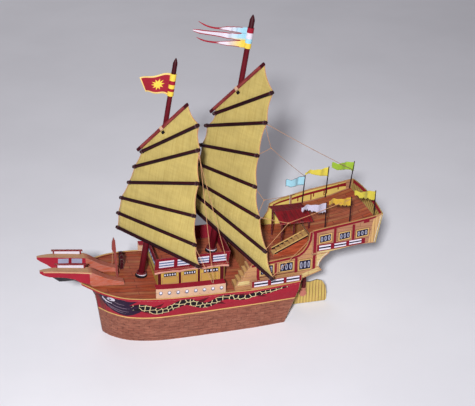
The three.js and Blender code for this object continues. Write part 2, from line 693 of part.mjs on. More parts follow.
function quarterFront() {
  const half = insideAt(QUARTER, QUARTER.frontX - CARD);
  const blank = box([QUARTER.frontX - CARD, -half, STRAKE_Z], [QUARTER.frontX, half, QUARTER.deckZ - GAP]);
  return cut(blank, belowDeck());
}
add('quarter_front', quarterFront(), 'yellow');

// A solid flight of steps that climbs aft from fore to back
function flight({ fore, y0, y1, count }, back, foot, low, top) {
  const rise = (top - low) / count;
  const run = (back - fore) / count;
  const points = [[back, foot], [fore, foot]];
  for (let i = 0; i < count; i += 1) {
    points.push([fore + run * i, low + rise * (i + 1)]);
    points.push([fore + run * (i + 1), low + rise * (i + 1)]);
  }
  return sidePlate(outline(points), y1, y1 - y0);
}
const steps = flight(STEPS, QUARTER.frontX + GAP, STRAKE_Z, deckTopAt(STEPS.fore), QUARTER.deckZ - GAP);
add('quarter_steps', cut(steps, belowDeck()), 'tan');

// Poop: side walls, sloping deck, front wall, counter and raked transom
add('poop_side_port', sideWall([...POOP_FOOT, ...POOP_TOP.port], POOP, 1), 'tan');
add('poop_side_starboard', sideWall([...POOP_FOOT, ...POOP_TOP.starboard], POOP, -1), 'tan');
add('poop_deck', deckPlate(POOP_DECK, POOP, DECK.card), 'deck');

const frontHalf = insideAt(QUARTER, POOP_FRONT.x - CARD);
add('poop_front', box(
  [POOP_FRONT.x - CARD, -frontHalf, quarterTop + GAP], [POOP_FRONT.x, frontHalf, POOP_FRONT.top]), 'yellow');
add('stern_counter', loft(COUNTER.map(([xo, zo, xi, zi, half]) => [
  [xo, half, zo], [xi, half, zi], [xi, -half, zi], [xo, -half, zo],
])), 'tan');

function transomGeometry() {
  const { bottomX, bottomZ, topX, topZ, arch, half } = TRANSOM;
  const tall = Math.hypot(topX - bottomX, topZ - bottomZ);
  const shape = outline([[-half, 0], [half, 0], [half, tall]]);
  shape.quadraticCurveTo(0, tall + 2 * arch, -half, tall);
  const geometry = new THREE.ExtrudeGeometry(shape, { depth: CARD, bevelEnabled: false, curveSegments: 10 });
  const up = new THREE.Vector3(topX - bottomX, 0, topZ - bottomZ).normalize();
  const across = new THREE.Vector3(0, -1, 0);
  const basis = new THREE.Matrix4().makeBasis(across, up, new THREE.Vector3().crossVectors(across, up));
  return geometry.applyMatrix4(basis).translate(bottomX, 0, bottomZ);
}
add('poop_transom', transomGeometry(), 'yellow');

function poopDeckAt(x) {
  const i = Math.max(POOP_DECK.findIndex((point) => point[0] <= x), 1);
  const [[x0, z0], [x1, z1]] = [POOP_DECK[i - 1], POOP_DECK[i]];
  return z0 + (z1 - z0) * (x - x0) / (x1 - x0);
}

// Pavilion
function pavilionRoof() {
  const { fore, aft, half, eaveZ, ridgeZ, card } = PAVILION;
  return crossPlate(outline([
    [-half, eaveZ], [0, ridgeZ], [half, eaveZ], [half, eaveZ + card], [0, ridgeZ + card], [-half, eaveZ + card],
  ]), aft, fore - aft);
}

function pavilionFrame() {
  const { x: rows, y, r, beam, beamHalf, top } = PAVILION_POSTS;
  const parts = [];
  for (const x of rows) {
    const foot = x > POOP.fore ? quarterTop : poopDeckAt(x - r);
    for (const side of [-1, 1]) {
      parts.push(rod([x, side * y, foot + GAP], [x, side * y, top], r, r));
    }
    parts.push(box([x - beamHalf, -y, top - beam], [x + beamHalf, y, top - GAP]));
  }
  for (const side of [-1, 1]) {
    const middle = side * y;
    parts.push(box([rows.at(-1), middle - beamHalf, top - beam], [rows[0], middle + beamHalf, top - GAP]));
  }
  return join(...parts);
}
add('pavilion_roof', pavilionRoof(), 'crimson');
add('pavilion_frame', pavilionFrame(), 'darkwood');

// Stairs from the quarterdeck up to the poop, on the port side
const stairFoot = quarterTop + GAP;
add('poop_stairs', flight(STAIRS, STAIRS.aft, stairFoot, stairFoot, POOP_FRONT.top), 'tan');

// A flag's outline from its pole forward, with a wave along both edges
function flagShape(x, top, length, height, droop) {
  const { wave, taper, steps } = FLAG;
  const edge = (z, lift) => Array.from({ length: steps + 1 }, (_, k) => {
    const t = k / steps;
    return [x + length * t, z + (lift - droop) * t + wave * Math.sin(t * 2 * Math.PI)];
  });
  return outline([...edge(top, -height * taper), ...edge(top - height, height * taper).reverse()]);
}

for (const [word, side, footX, topX, topZ, length, height, droop, look] of STERN_FLAGS) {
  const y = side * (halfAt(POOP, footX) - FLAG.inset);
  const foot = poopDeckAt(footX - FLAG.poleR) + GAP;
  const pole = rod([footX, y, foot], [topX, y, topZ], FLAG.poleR, FLAG.poleR, 8);
  const shape = flagShape(topX, topZ - FLAG.below, length, height, droop);
  const cloth = sidePlate(shape, y + FLAG.card / 2, FLAG.card);
  add(`stern_flag_${word}`, join(pole, cloth), look);
}

// Mast flags on sleeves round the mast heads
function mastFlag(mast, { low, high, shape }) {
  const inner = mastRadius(mast, low) + MAST_FLAG.slack;
  const outer = inner + MAST_FLAG.sleeve;
  const cloth = new THREE.ExtrudeGeometry(outline(shape), { depth: MAST_FLAG.card, bevelEnabled: false });
  return join(tube(inner, outer, low, high), cloth.translate(0, 0, -MAST_FLAG.card / 2));
}
add('foremast_flag', mastFlag(FOREMAST, FORE_FLAG), 'crimson', mastFrame(FOREMAST, 0));
add('mainmast_pennant', mastFlag(MAINMAST, PENNANT), 'white', mastFrame(MAINMAST, 0));

// Rudder: the blade sits in the slotted lower half of its stock
function stockGeometry() {
  const { axisX, stockR, stockLow, stockTop, card, bladeTop, slot: run } = RUDDER;
  const { x, z, r, reach } = RUDDER_DISC;
  const shaft = rod([axisX, 0, stockLow], [axisX, 0, stockTop], stockR, stockR);
  const disc = rod([x, -reach, z], [x, reach, z], r, r, 16);
  const slot = box([axisX - run, -card / 2 - GAP, 0], [axisX + run, card / 2 + GAP, bladeTop]);
  return cut(join(shaft, disc), slot);
}
add('rudder_blade', sidePlate(outline(RUDDER_BLADE), RUDDER.card / 2, RUDDER.card), 'yellow');
add('rudder_stock', stockGeometry(), 'darkwood');

function sternPost() {
  const { half, profile } = STERN_POST;
  const { low, high, half: armHalf, ringR, from } = ARM;
  const { axisX, stockR } = RUDDER;
  const post = sidePlate(outline(profile), half, 2 * half);
  const arm = box([axisX, -armHalf, low], [from, armHalf, high]);
  const ring = rod([axisX, 0, low], [axisX, 0, high], ringR, ringR);
  const bore = rod([axisX, 0, low - 1], [axisX, 0, high + 1], stockR + GAP, stockR + GAP);
  return cut(join(post, arm, ring), bore);
}
add('stern_post', sternPost(), 'planks');

export default model;
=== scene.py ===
# Looks of a card model of a two-masted sailing junk, in the same frame as its CAD
import functools
import math
import random

import bmesh
import bpy
from mathutils import Matrix, Vector
from mathutils.bvhtree import BVHTree


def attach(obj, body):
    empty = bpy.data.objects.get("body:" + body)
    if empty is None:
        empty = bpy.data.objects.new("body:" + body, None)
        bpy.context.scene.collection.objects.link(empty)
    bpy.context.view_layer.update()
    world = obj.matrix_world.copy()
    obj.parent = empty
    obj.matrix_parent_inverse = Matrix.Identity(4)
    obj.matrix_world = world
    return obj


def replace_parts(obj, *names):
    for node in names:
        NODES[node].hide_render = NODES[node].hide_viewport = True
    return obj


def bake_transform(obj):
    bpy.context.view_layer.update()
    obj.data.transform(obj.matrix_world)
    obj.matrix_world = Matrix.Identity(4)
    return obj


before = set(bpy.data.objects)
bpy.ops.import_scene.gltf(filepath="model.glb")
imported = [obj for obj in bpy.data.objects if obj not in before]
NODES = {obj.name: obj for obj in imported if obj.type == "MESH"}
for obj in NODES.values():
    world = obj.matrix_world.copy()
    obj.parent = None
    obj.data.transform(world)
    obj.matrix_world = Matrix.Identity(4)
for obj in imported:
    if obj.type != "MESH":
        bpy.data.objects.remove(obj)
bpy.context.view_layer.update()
MM = 0.001
ACROSS = Vector((0, 1, 0))
UP = Vector((0, 0, 1))
SIDES = (("port", 1), ("starboard", -1))


def mm(x, y, z):
    return Vector((x, y, z)) * MM


def even(count):
    """Even steps from 0 to 1."""
    return [k / count for k in range(count + 1)]


# Camera, at the photograph's viewing angle
CAMERA = {"at": (225.4, 1000.0, 655.1), "turn": 15.5, "tip": 26.6, "roll": 1.0, "focal": 1100 / 475}


def add_camera():
    turn, tip, roll = (math.radians(CAMERA[key]) for key in ("turn", "tip", "roll"))
    back = Vector((math.sin(turn) * math.cos(tip), math.cos(turn) * math.cos(tip), math.sin(tip)))
    right = (-back).cross(UP).normalized()
    down = (-back).cross(right)
    level = math.cos(roll) * right - math.sin(roll) * down
    below = math.sin(roll) * right + math.cos(roll) * down
    data = bpy.data.cameras.new("camera")
    data.sensor_width = 36
    data.lens = CAMERA["focal"] * data.sensor_width
    data.clip_start = 0.01
    camera = bpy.data.objects.new("camera", data)
    turned_round = Matrix((level, -below, back)).transposed().to_4x4()
    camera.matrix_world = Matrix.Translation(mm(*CAMERA["at"])) @ turned_round
    bpy.context.scene.collection.objects.link(camera)
    bpy.context.scene.camera = camera


# Colours, as sRGB hex
INK = dict(
    paper="c0b5a7", crimson="8b1b2b", dark_crimson="71111d", maroon="4a0e16", cap="6d0f1f",
    roof="87101d", batten="360912", mast="5c0a18", yard="8a4440", spar="793733", timber="a36457",
    hull="96604d", seam="512721", deck="a24b2f", deck_dark="662517", tan="b5925a", gold="aa9852",
    pale_gold="b4a577", sand="af8867", orange_tan="a67c4e", poop_tan="93694a", salmon="966855",
    ochre="aa8445", wall_yellow="b28f44", inner_yellow="bba558", cream="b08e76", valance="b98476",
    eave="853531", white="c4bdc9", panel_grey="86869c", ring="5c5c6c", lattice="8b8a9c", slate="546482",
    navy="16152c", black="120c13", plum="23122a", mane="6b5a68", scale_line="c6b488", sail="aa9759",
    sail_dark="8f783a", thread="b07c53", border="cfb470", flag_white="a59eb0", flag_orange="b18d30",
    flag_lemon="aea039", flag_straw="c8b848", flag_blue="8fbccd", flag_yellow="d2b446",
    flag_green="8ba935", flag_red="891729", floor="e2e2e9")


def ink(name):
    def linear(part):
        value = int(part, 16) / 255
        return value / 12.92 if value <= 0.04045 else ((value + 0.055) / 1.055) ** 2.4

    return tuple(linear(INK[name][i:i + 2]) for i in (0, 2, 4)) + (1.0,)


# Node materials
class Field:
    """A value that varies over a surface, whose sums and products are nodes."""

    def __init__(self, graph, socket):
        self.graph = graph
        self.socket = socket

    def __add__(self, other):
        return self.graph.math("ADD", self, other)

    def __sub__(self, other):
        return self.graph.math("SUBTRACT", self, other)

    def __rsub__(self, other):
        return self.graph.math("SUBTRACT", other, self)

    def __mul__(self, other):
        return self.graph.math("MULTIPLY", self, other)


class Graph:
    """A material's nodes, made with short calls. A colour is a field or the name of an ink."""

    def __init__(self, name):
        self.material = bpy.data.materials.new(name)
        self.material.use_nodes = True
        self.tree = self.material.node_tree
        self.tree.nodes.clear()
        self.shader = self.tree.nodes.new("ShaderNodeBsdfPrincipled")
        self.node("OutputMaterial", {0: Field(self, self.shader.outputs[0])}, None)
        self.place = self.node("TexCoord", {}, "Object")

    def node(self, kind, inputs, output=0, **settings):
        node = self.tree.nodes.new(f"ShaderNode{kind}")
        for name, value in settings.items():
            setattr(node, name, value)
        for key, value in inputs.items():
            self.wire(value, node.inputs[key])
        return None if output is None else Field(self, node.outputs[output])

    def wire(self, value, socket):
        if isinstance(value, Field):
            self.tree.links.new(value.socket, socket)
        else:
            socket.default_value = ink(value) if isinstance(value, str) else value

    def parts(self, vector=None):
        first = self.node("SeparateXYZ", {0: vector or self.place})
        return [Field(self, output) for output in first.socket.node.outputs]

    def normal(self):
        return self.parts(self.node("NewGeometry", {}, "True Normal"))

    def faced(self, axis, low, high):
        """A mask of the faces whose normal along one axis goes from low to high."""
        return self.span(self.normal()[axis], low, high)

    def join(self, x, y, z=0.0):
        return self.node("CombineXYZ", {0: x, 1: y, 2: z})

    def noise(self, scale, detail=3.0, at=None, rough=0.55):
        inputs = {"Vector": at or self.place, "Scale": scale, "Detail": detail, "Roughness": rough}
        return self.node("TexNoise", inputs)

    def streaks(self, scale, rough=0.6, detail=5):
        """Noise drawn out by a scale of its own along each axis."""
        return self.noise(1.0, detail, self.node("Mapping", {"Vector": self.place, "Scale": scale}), rough)

    def math(self, operation, *values):
        return self.node("Math", dict(enumerate(values)), operation=operation)

    def span(self, value, low, high, to_low=0.0, to_high=1.0):
        inputs = {"Value": value, "From Min": low, "From Max": high, "To Min": to_low, "To Max": to_high}
        return self.node("MapRange", inputs, interpolation_type="SMOOTHSTEP")

    def mix(self, factor, a, b):
        return self.node("Mix", {0: factor, 6: a, 7: b}, 2, data_type="RGBA")

    def fade(self, field, low, high, a, b):
        """From one colour to another as a field goes from low to high."""
        return self.mix(self.span(field, low, high), a, b)

    def topped(self, sides, top):
        """One colour on the faces that look up and another on the rest."""
        return self.mix(self.faced(2, 0.4, 0.6), sides, top)

    def tone(self, colour, field, low, high):
        """The colour made darker or lighter by a field from 0 to 1."""
        base = ink(colour)[:3] if isinstance(colour, str) else colour
        inputs = {0: base, "Scale": self.span(field, 0.25, 0.75, low, high)}
        return self.node("VectorMath", inputs, operation="SCALE")

    def bricks(self, at, width, height, mortar):
        """Two fields of a plank layout: each plank's own shade, and its seams."""
        shade = self.node("TexBrick", {
            "Vector": at, "Scale": 1.0, "Mortar Size": mortar, "Mortar Smooth": 0.6, "Brick Width": width,
            "Row Height": height, "Color1": (0, 0, 0, 1), "Color2": (1, 1, 1, 1),
            "Mortar": (0.5, 0.5, 0.5, 1)})
        return shade, Field(self, shade.socket.node.outputs[1])

    def printed(self, colour):
        """Ink on matt card: a fine speckle over soft clouds."""
        return self.tone(self.tone(colour, self.noise(1300, 4), 0.9, 1.07), self.noise(70, 3), 0.92, 1.06)

    def worn(self, colour):
        """Folds and cut edges where the ink has rubbed off to the paper."""
        round_edge = self.node("Bevel", {"Radius": 0.00035}, samples=4)
        inputs = {0: round_edge, 1: self.node("NewGeometry", {}, "Normal")}
        edge = self.span(self.node("VectorMath", inputs, "Value", operation="DOT_PRODUCT"), 0.99, 0.86)
        patchy = self.span(self.noise(420, 3), 0.42, 0.62, 0.15, 0.55)
        return self.mix(edge * patchy, colour, "paper")

    def finish(self, colour, rough=(0.5, 0.7), height=None, lift=0.00004, sheen=0.0, coat=0.0):
        height = height or self.noise(1500, 2)
        inputs = {
            "Base Color": colour, "Roughness": self.span(self.noise(260, 3), 0.3, 0.7, *rough),
            "Normal": self.node("Bump", {"Strength": 1.0, "Distance": lift, "Height": height}),
            "Specular IOR Level": 0.13, "Sheen Weight": sheen, "Coat Weight": coat}
        for name, value in inputs.items():
            self.wire(value, self.shader.inputs[name])
        return self.material

    def card(self, colour, *look):
        return self.finish(self.worn(self.printed(colour)), *look)


@functools.cache
def card(name, worn=False):
    """Card printed in one ink, with clean or worn edges."""
    graph = Graph(f"{'board' if worn else 'card'}_{name}")
    rough = (0.5, 0.68)
    return graph.card(name, rough) if worn else graph.finish(graph.printed(name), rough)


def split_card(name, below, above, level):
    """Card of one ink below a height and another above it."""
    graph = Graph(name)
    return graph.card(graph.mix(graph.span(graph.parts()[2], level, level + 0.0003), below, above))


def plank_card(name, light, dark, axes, width, height, seam=0.0003, depth=0.5, rim=None):
    """Card printed with planks that run along the first of two axes, with its cut edges inked or plain."""
    graph = Graph(name)
    place = graph.parts()
    along, across = (place["XYZ".index(axis)] for axis in axes)
    shade, seams = graph.bricks(graph.join(along, across + graph.noise(30, 2) * 0.0012), width, height, seam)
    grain = graph.noise(1.0, 5, graph.join(along * 60.0, across * 900.0, place[2] * 200.0), 0.65)
    colour = graph.fade(grain, 0.38, 0.72, light, dark)
    colour = graph.mix(shade * 0.28, colour, dark)
    colour = graph.mix(seams * graph.span(graph.noise(140, 2), 0.3, 0.6, depth, 1.0), colour, "seam")
    if rim:
        colour = graph.mix(graph.span(graph.math("ABSOLUTE", graph.normal()[1]), 0.6, 0.5), colour, rim)
    return graph.card(colour, (0.48, 0.7), grain * 0.4 - seams, 0.00006)


TIP_FADE = 0.002


def wood(name, light, dark, rough=(0.36, 0.54), tips=None):
    """Stained round wood with its grain along the piece's own Z, darker before and past two heights."""
    graph = Graph(name)
    fibres = graph.streaks((1400, 1400, 60), 0.62)
    colour = graph.fade(fibres, 0.35, 0.7, dark, light)
    colour = graph.tone(colour, graph.streaks((120, 120, 40), 0.55, 3), 0.75, 1.15)
    if tips:
        height = graph.parts()[2]
        ends = (graph.span(height, at, at + fade) for at, fade in zip(tips, (-TIP_FADE, TIP_FADE)))
        colour = graph.mix(graph.math("MAXIMUM", *ends), colour, "batten")
    return graph.finish(colour, rough, fibres, 0.00008, coat=0.03)


def hull_material():
    """Brown planks below the strake and a crimson band above it."""
    graph = Graph("hull_print")
    x, y, z = graph.parts()
    shade, seams = graph.bricks(graph.join(x, z + y * 0.05), 0.0105, 0.0042, 0.00022)
    grain = graph.streaks((120, 300, 1500), 0.65)
    planks = graph.fade(grain, 0.35, 0.75, "hull", "seam")
    planks = graph.mix(shade * 0.22, planks, "deck_dark")
    planks = graph.mix(seams * graph.span(graph.noise(260, 2), 0.42, 0.6, 0.25, 1.0), planks, "black")
    paint = graph.mix(graph.faced(0, 0.75, 0.85), "crimson", "seam")
    colour = graph.fade(z, 0.0358, 0.0362, planks, paint)
    return graph.card(colour, (0.42, 0.6), grain * 0.3 - seams * 0.7, 0.00005)


def deck_planks(graph):
    """Deck planks along X with dark seams, a wandering grain and bleached streaks."""
    x, y, _ = graph.parts()
    across = y + graph.noise(28, 2) * 0.0022
    shade, seams = graph.bricks(graph.join(x, across), 0.062, 0.0068, 0.0004)
    grain = graph.noise(1.0, 5, graph.join(x * 55.0, across * 800.0), 0.66)
    colour = graph.fade(grain, 0.36, 0.74, "deck", "deck_dark")
    colour = graph.mix(shade * 0.3, colour, "salmon")
    bleached = graph.noise(1.0, 3, graph.join(x * 16.0, across * 150.0))
    colour = graph.mix(graph.span(bleached, 0.5, 0.72, 0.0, 0.5), colour, "orange_tan")
    return graph.mix(seams * 0.85, colour, "seam")


def deck_material(name, sides):
    graph = Graph(name)
    return graph.card(graph.topped(sides, deck_planks(graph)), (0.45, 0.68))


def tray_material():
    """The main deck: planks on top, crimson outside and dark inside its low rail."""
    graph = Graph("main_deck_print")
    normal = graph.normal()
    outside = graph.span(normal[1] * graph.parts()[1], 0.001, 0.003)
    ahead = graph.span(normal[0], 0.6, 0.8)
    sides = graph.mix(graph.math("MAXIMUM", outside, ahead), "deck_dark", "crimson")
    return graph.card(graph.topped(sides, deck_planks(graph)), (0.45, 0.65))


def stair_material(name, side, side_dark):
    """Steps: tan treads, darker risers, and planked side faces."""
    graph = Graph(name)
    shade = graph.span(graph.streaks((90, 90, 900), 0.64), 0.36, 0.72)
    treads = graph.mix(graph.streaks((900, 80, 100), 0.6, 4), "tan", "orange_tan")
    risers = graph.mix(shade, "orange_tan", "salmon")
    colour = graph.mix(graph.faced(0, 0.4, 0.6), graph.mix(shade, side, side_dark), risers)
    return graph.card(graph.topped(colour, treads), (0.48, 0.66))


def wing_material():
    """Bow wings: salmon wood above and behind, crimson prongs ahead, and black painted shade on the faces
    that look down.
    """
    graph = Graph("wing_print")
    x = graph.parts()[0]
    grain = graph.streaks((60, 900, 700), 0.62)
    timber = graph.fade(grain, 0.36, 0.72, "timber", "deck")
    flanks = graph.fade(x, 0.1095, 0.1099, timber, "crimson")
    tops = graph.fade(x, 0.104, 0.114, timber, graph.tone("sand", grain, 0.85, 1.05))
    colour = graph.topped(flanks, tops)
    # painted shade: faces that look down are coloured black, standing for the shadow under the wings
    return graph.card(graph.mix(graph.faced(2, -0.12, -0.3), colour, "black"), (0.42, 0.62))


def rail_material():
    """Bow rails: white panels with a crimson cap and crimson posts."""
    graph = Graph("bow_rail_print")
    x, _, z = graph.parts()
    cap = graph.span(z - (x * 0.139 + 0.0729), 0.0, 0.0002)
    posts = graph.math("MAXIMUM", graph.span(x, 0.1149, 0.1146), graph.span(x, 0.1409, 0.1412))
    return graph.card(graph.mix(graph.math("MAXIMUM", cap, posts), "white", "dark_crimson"), (0.45, 0.65))


def cream_material():
    """Cream card with fine drawn strokes."""
    graph = Graph("cream_print")
    strokes = graph.streaks((300, 300, 500), 0.5, 3)
    return graph.card(graph.fade(strokes, 0.6, 0.75, "cream", "salmon"), (0.48, 0.66))


def sail_material():
    """Woven mat in the sail's own axes: flat strips over and under, streaks and soft stains."""
    graph = Graph("sail_mat")
    bend = graph.noise(90, 2) * 0.0005
    pitch = 2 * math.pi / 0.0011
    across, along = (graph.math("SINE", (axis + bend) * pitch) for axis in graph.parts()[:2])
    weave = (across * along + 1.0) * 0.5
    streaks = graph.streaks((700, 28, 1), 0.6, 4)
    colour = graph.mix(graph.span(streaks, 0.4, 0.75, 0.0, 0.55), "sail", "sail_dark")
    colour = graph.tone(colour, graph.streaks((30, 260, 1), 0.6, 3), 0.93, 1.06)
    colour = graph.tone(colour, graph.noise(38, 3), 0.92, 1.07)
    colour = graph.tone(colour, weave, 0.93, 1.05)
    return graph.finish(colour, (0.7, 0.88), weave + streaks * 0.5, 0.00012, sheen=0.12)


def thread_material(colour):
    """Twisted sewing thread."""
    graph = Graph(f"{colour}_twist")
    twist = graph.node("TexWave", {"Vector": graph.place, "Scale": 700}, 1, bands_direction="DIAGONAL")
    return graph.finish(graph.tone(colour, twist, 0.75, 1.12), (0.65, 0.8), twist, 0.00006, sheen=0.3)


def scale_material():
    """Dark scales with pale outlines, for the painted dragon's body."""
    graph = Graph("dragon_scales")
    x, _, z = graph.parts()
    inputs = {"Vector": graph.join(x, z * 1.1), "Scale": 170, "Randomness": 0.7}
    cells = graph.node("TexVoronoi", inputs, voronoi_dimensions="2D", feature="DISTANCE_TO_EDGE")
    dark = graph.span(cells, 0.045, 0.085)
    return graph.finish(graph.printed(graph.mix(dark, "scale_line", "black")), (0.45, 0.6), dark, 0.00003)


def paper(graph, colour, lift):
    return graph.finish(colour, (0.55, 0.75), graph.streaks((900, 900, 300), 0.6, 4), lift, sheen=0.15)


def flag_material(name, colour, border, width):
    """Thin dyed paper, with a printed border by the flag's own coordinates."""
    graph = Graph(name)
    body = graph.printed(colour)
    if border:
        near = [graph.math("MINIMUM", part, 1.0 - part) for part in graph.parts(graph.node("UVMap", {}))[:2]]
        edge = graph.math("MINIMUM", near[0] * 2.4, near[1])
        body = graph.fade(edge, width, width * 0.7, body, border)
    return paper(graph, body, 0.00006)


def pennant_material():
    """Light blue above and yellow below at the mast, then white, with crimson outlines and outer tips."""
    graph = Graph("paper_pennant")
    along, across, _ = graph.parts(graph.node("UVMap", {}))
    height = graph.parts()[1]
    near = graph.fade(height, 0.233, 0.2365, "flag_yellow", "flag_blue")
    body = graph.fade(along, 0.05, 0.45, near, "white")
    outer = graph.span(graph.math("ABSOLUTE", height - 0.2375), 0.003, 0.0045)
    tip = outer * graph.span(along, 0.5, 0.6)
    width = graph.span(along, 0.12, 0.9, 0.1, 0.24) * graph.span(along, 0.1, 0.14)
    line = graph.math("LESS_THAN", graph.math("MINIMUM", across, 1.0 - across), width)
    return paper(graph, graph.mix(graph.math("MAXIMUM", tip, line), graph.printed(body), "crimson"), 0.00005)


def floor_material():
    graph = Graph("floor")
    colour = graph.tone("floor", graph.noise(6, 4), 0.97, 1.02)
    return graph.finish(colour, (0.6, 0.75), graph.noise(500, 3), 0.00003)


PLANKS = {name: plank_card(f"{name}_planks", *row) for name, row in {
    # name: light and dark ink, axes, plank length and width, seam, least depth of the seams, ink of the edges
    "salmon": ("orange_tan", "salmon", "XZ", 0.05, 0.0055, 0.00018, 0.3),
    "poop": ("poop_tan", "salmon", "XZ", 0.05, 0.0048, 0.00024, 0.35),
    "yellow": ("pale_gold", "tan", "XZ", 0.06, 0.0042, 0.0002, 0.3),
    "end": ("tan", "sand", "ZX", 0.09, 0.0034, 0.0003, 0.5),
    "door": ("orange_tan", "deck", "ZY", 0.06, 0.0046, 0.0003, 0.6),
    "rudder": ("gold", "tan", "ZX", 0.09, 0.0036, 0.0004, 0.8, "black"),
    "transom": ("gold", "tan", "ZY", 0.05, 0.0044, 0.0004, 0.5),
    "roof": ("roof", "maroon", "YX", 0.05, 0.0028, 0.0003, 0.8)}.items()}
MAST_WOOD = wood("mast_wood", "mast", "maroon", tips=(-0.01, 0.224))
BATTEN_WOOD = wood("batten_wood", "batten", "black", (0.35, 0.55))
SAIL = sail_material()
THREAD = thread_material("thread")
DARK_THREAD = thread_material("batten")
SCALES = scale_material()
DECK = deck_material("deck_print", "salmon")


# Mesh pieces, each from a shape: points in metres and the faces through them
def make(name, shape, material, slot=None, body="root", placement=Matrix(), smooth=False):
    """A piece in one material or ink that rides on a body."""
    points, faces = shape
    mesh = bpy.data.meshes.new(name)
    mesh.from_pydata([tuple(point) for point in points], [], faces)
    mesh.validate()
    mesh.update()
    mesh.shade_smooth() if smooth else mesh.shade_flat()
    mesh.materials.append(card(material) if isinstance(material, str) else material)
    piece = bpy.data.objects.new(name, mesh)
    bpy.context.scene.collection.objects.link(piece)
    piece.matrix_world = placement
    if body:
        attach(piece, body)
    return piece


def together(shapes):
    """One shape of several closed ones."""
    points, faces = [], []
    for more_points, more_faces in shapes:
        base = len(points)
        points.extend(more_points)
        faces.extend(tuple(base + i for i in face) for face in more_faces)
    return points, faces


def ring_faces(rings, sides):
    """Faces of a closed skin through rings of points, wound outwards for rings that turn anticlockwise."""
    faces = []
    for a in range(0, (rings - 1) * sides, sides):
        for i in range(sides):
            j = (i + 1) % sides
            faces.append((a + i, a + j, a + sides + j, a + sides + i))
    return faces + [tuple(reversed(range(sides))), tuple(range((rings - 1) * sides, rings * sides))]


def thickened(tops, roots, skin):
    """A closed shape between two like sets of points, from the faces over the first set."""
    count = len(tops)
    steps = [step for face in skin for step in zip(face, (*face[1:], face[0]))]
    known = set(steps)
    walls = [(b, a, count + a, count + b) for a, b in steps if (b, a) not in known]
    under = [tuple(count + i for i in (face[0], *reversed(face[1:]))) for face in skin]
    return [*tops, *roots], [*skin, *under, *walls]


def circle(sides):
    """Cosine and sine of equal steps round a circle."""
    return [(math.cos(2 * math.pi * k / sides), math.sin(2 * math.pi * k / sides)) for k in range(sides)]


def swept(path, section, side=None):
    """A section of (side, up) offsets in millimetres along a path, level or with its side fixed."""
    points = []
    for i, point in enumerate(path):
        ahead = (path[min(i + 1, len(path) - 1)] - path[max(i - 1, 0)]).normalized()
        out = ahead.cross(UP).normalized() if side is None else side
        rise = UP if side is None else side.cross(ahead).normalized()
        points.extend(point + (out * a + rise * b) * MM for a, b in section)
    return points, ring_faces(len(path), len(section))


def tube(path, radius, sides):
    """A round tube along a path."""
    points = []
    normal = (path[1] - path[0]).orthogonal()
    for i, point in enumerate(path):
        ahead = (path[min(i + 1, len(path) - 1)] - path[max(i - 1, 0)]).normalized()
        normal = (normal - ahead * normal.dot(ahead)).normalized()
        other = ahead.cross(normal)
        points += [point + (normal * a + other * b) * radius for a, b in circle(sides)]
    return points, ring_faces(len(path), sides)


def turned(profile, sides=24):
    """A solid of revolution about Z from (radius, height) points in millimetres, closed at both ends."""
    points = [mm(radius * a, radius * b, height) for radius, height in profile for a, b in circle(sides)]
    return points, ring_faces(len(profile), sides)


def aimed(start, end):
    """The placement that puts a piece's own Z from start towards end."""
    return Matrix.Translation(start) @ (end - start).to_track_quat("Z", "Y").to_matrix().to_4x4()


WAVINESS = 0.04


def stick(name, start, end, radii, material, body="root", slot="mast_wood", tip=0.0):
    """A round stick with softened ends or a pointed tip, and a slight hand-cut waviness."""
    length = (end - start).length / MM
    chance = random.Random(name)
    first, last = radii
    soft = min(radii) * 0.35
    profile = [(first * 0.55, 0), (first - soft * 0.3, soft * 0.35), (first, soft)]
    for t in even(9)[1:-1]:
        radius = first + (last - first) * t + chance.uniform(-WAVINESS, WAVINESS)
        profile.append((radius, (length - tip) * t))
    if tip:
        profile += [(last, length - tip), (last * 0.62, length - tip * 0.45), (last * 0.2, length)]
    else:
        profile += [(last, length - soft), (last - soft * 0.3, length - soft * 0.35), (last * 0.55, length)]
    return make(name, turned(profile), material, slot, body, aimed(start, end), True)


# Thin printed plates laid on a host's surface
VIEWS = {
    # name: drawing axis across, direction of the rays, start of the rays in millimetres
    "port": ((1, 0, 0), (0, -1, 0), 90), "starboard": ((1, 0, 0), (0, 1, 0), 90),
    "inside_starboard": ((1, 0, 0), (0, -1, 0), 0), "inside_port": ((1, 0, 0), (0, 1, 0), 0),
    "ahead": ((0, 1, 0), (-1, 0, 0), 200), "astern": ((0, 1, 0), (1, 0, 0), 260)}
CUT = 3.0
ROOT_DEPTH = 0.03
SLIDE = 0.2
MOST_SLIDES = 25


@functools.cache
def host_tree(host):
    mesh = NODES[host].data
    return BVHTree.FromPolygons([v.co for v in mesh.vertices], [tuple(p.vertices) for p in mesh.polygons])


def meet(host, origin, ray, right):
    """Where a ray meets the host, or else the nearest place beside it that one does."""
    for reach in range(MOST_SLIDES):
        for a, b in circle(12 if reach else 1):
            aside = (right * a + UP * b) * reach * SLIDE * MM
            place, normal, _, _ = host_tree(host).ray_cast(origin + aside, ray)
            if place is not None:
                return place, normal
    raise ValueError(f"a plate on {host} lies off it, near {tuple(round(c / MM, 1) for c in origin)}")


def cut_up(outline):
    """A flat mesh of an outline, cut along both axes so that it can bend with its host."""
    mesh = bmesh.new()
    mesh.faces.new([mesh.verts.new((a, b, 0)) for a, b in outline]).normal_update()
    bmesh.ops.triangulate(mesh, faces=mesh.faces[:], ngon_method="EAR_CLIP")
    for axis, across in enumerate(zip(*outline)):
        at = min(across) + CUT
        while at < max(across) - CUT * 0.3:
            centre, normal = [0, 0, 0], [0, 0, 0]
            centre[axis], normal[axis] = at, 1
            everything = mesh.verts[:] + mesh.edges[:] + mesh.faces[:]
            bmesh.ops.bisect_plane(mesh, geom=everything, plane_co=centre, plane_no=normal)
            at += CUT
    mesh.verts.index_update()
    mesh.normal_update()
    return mesh


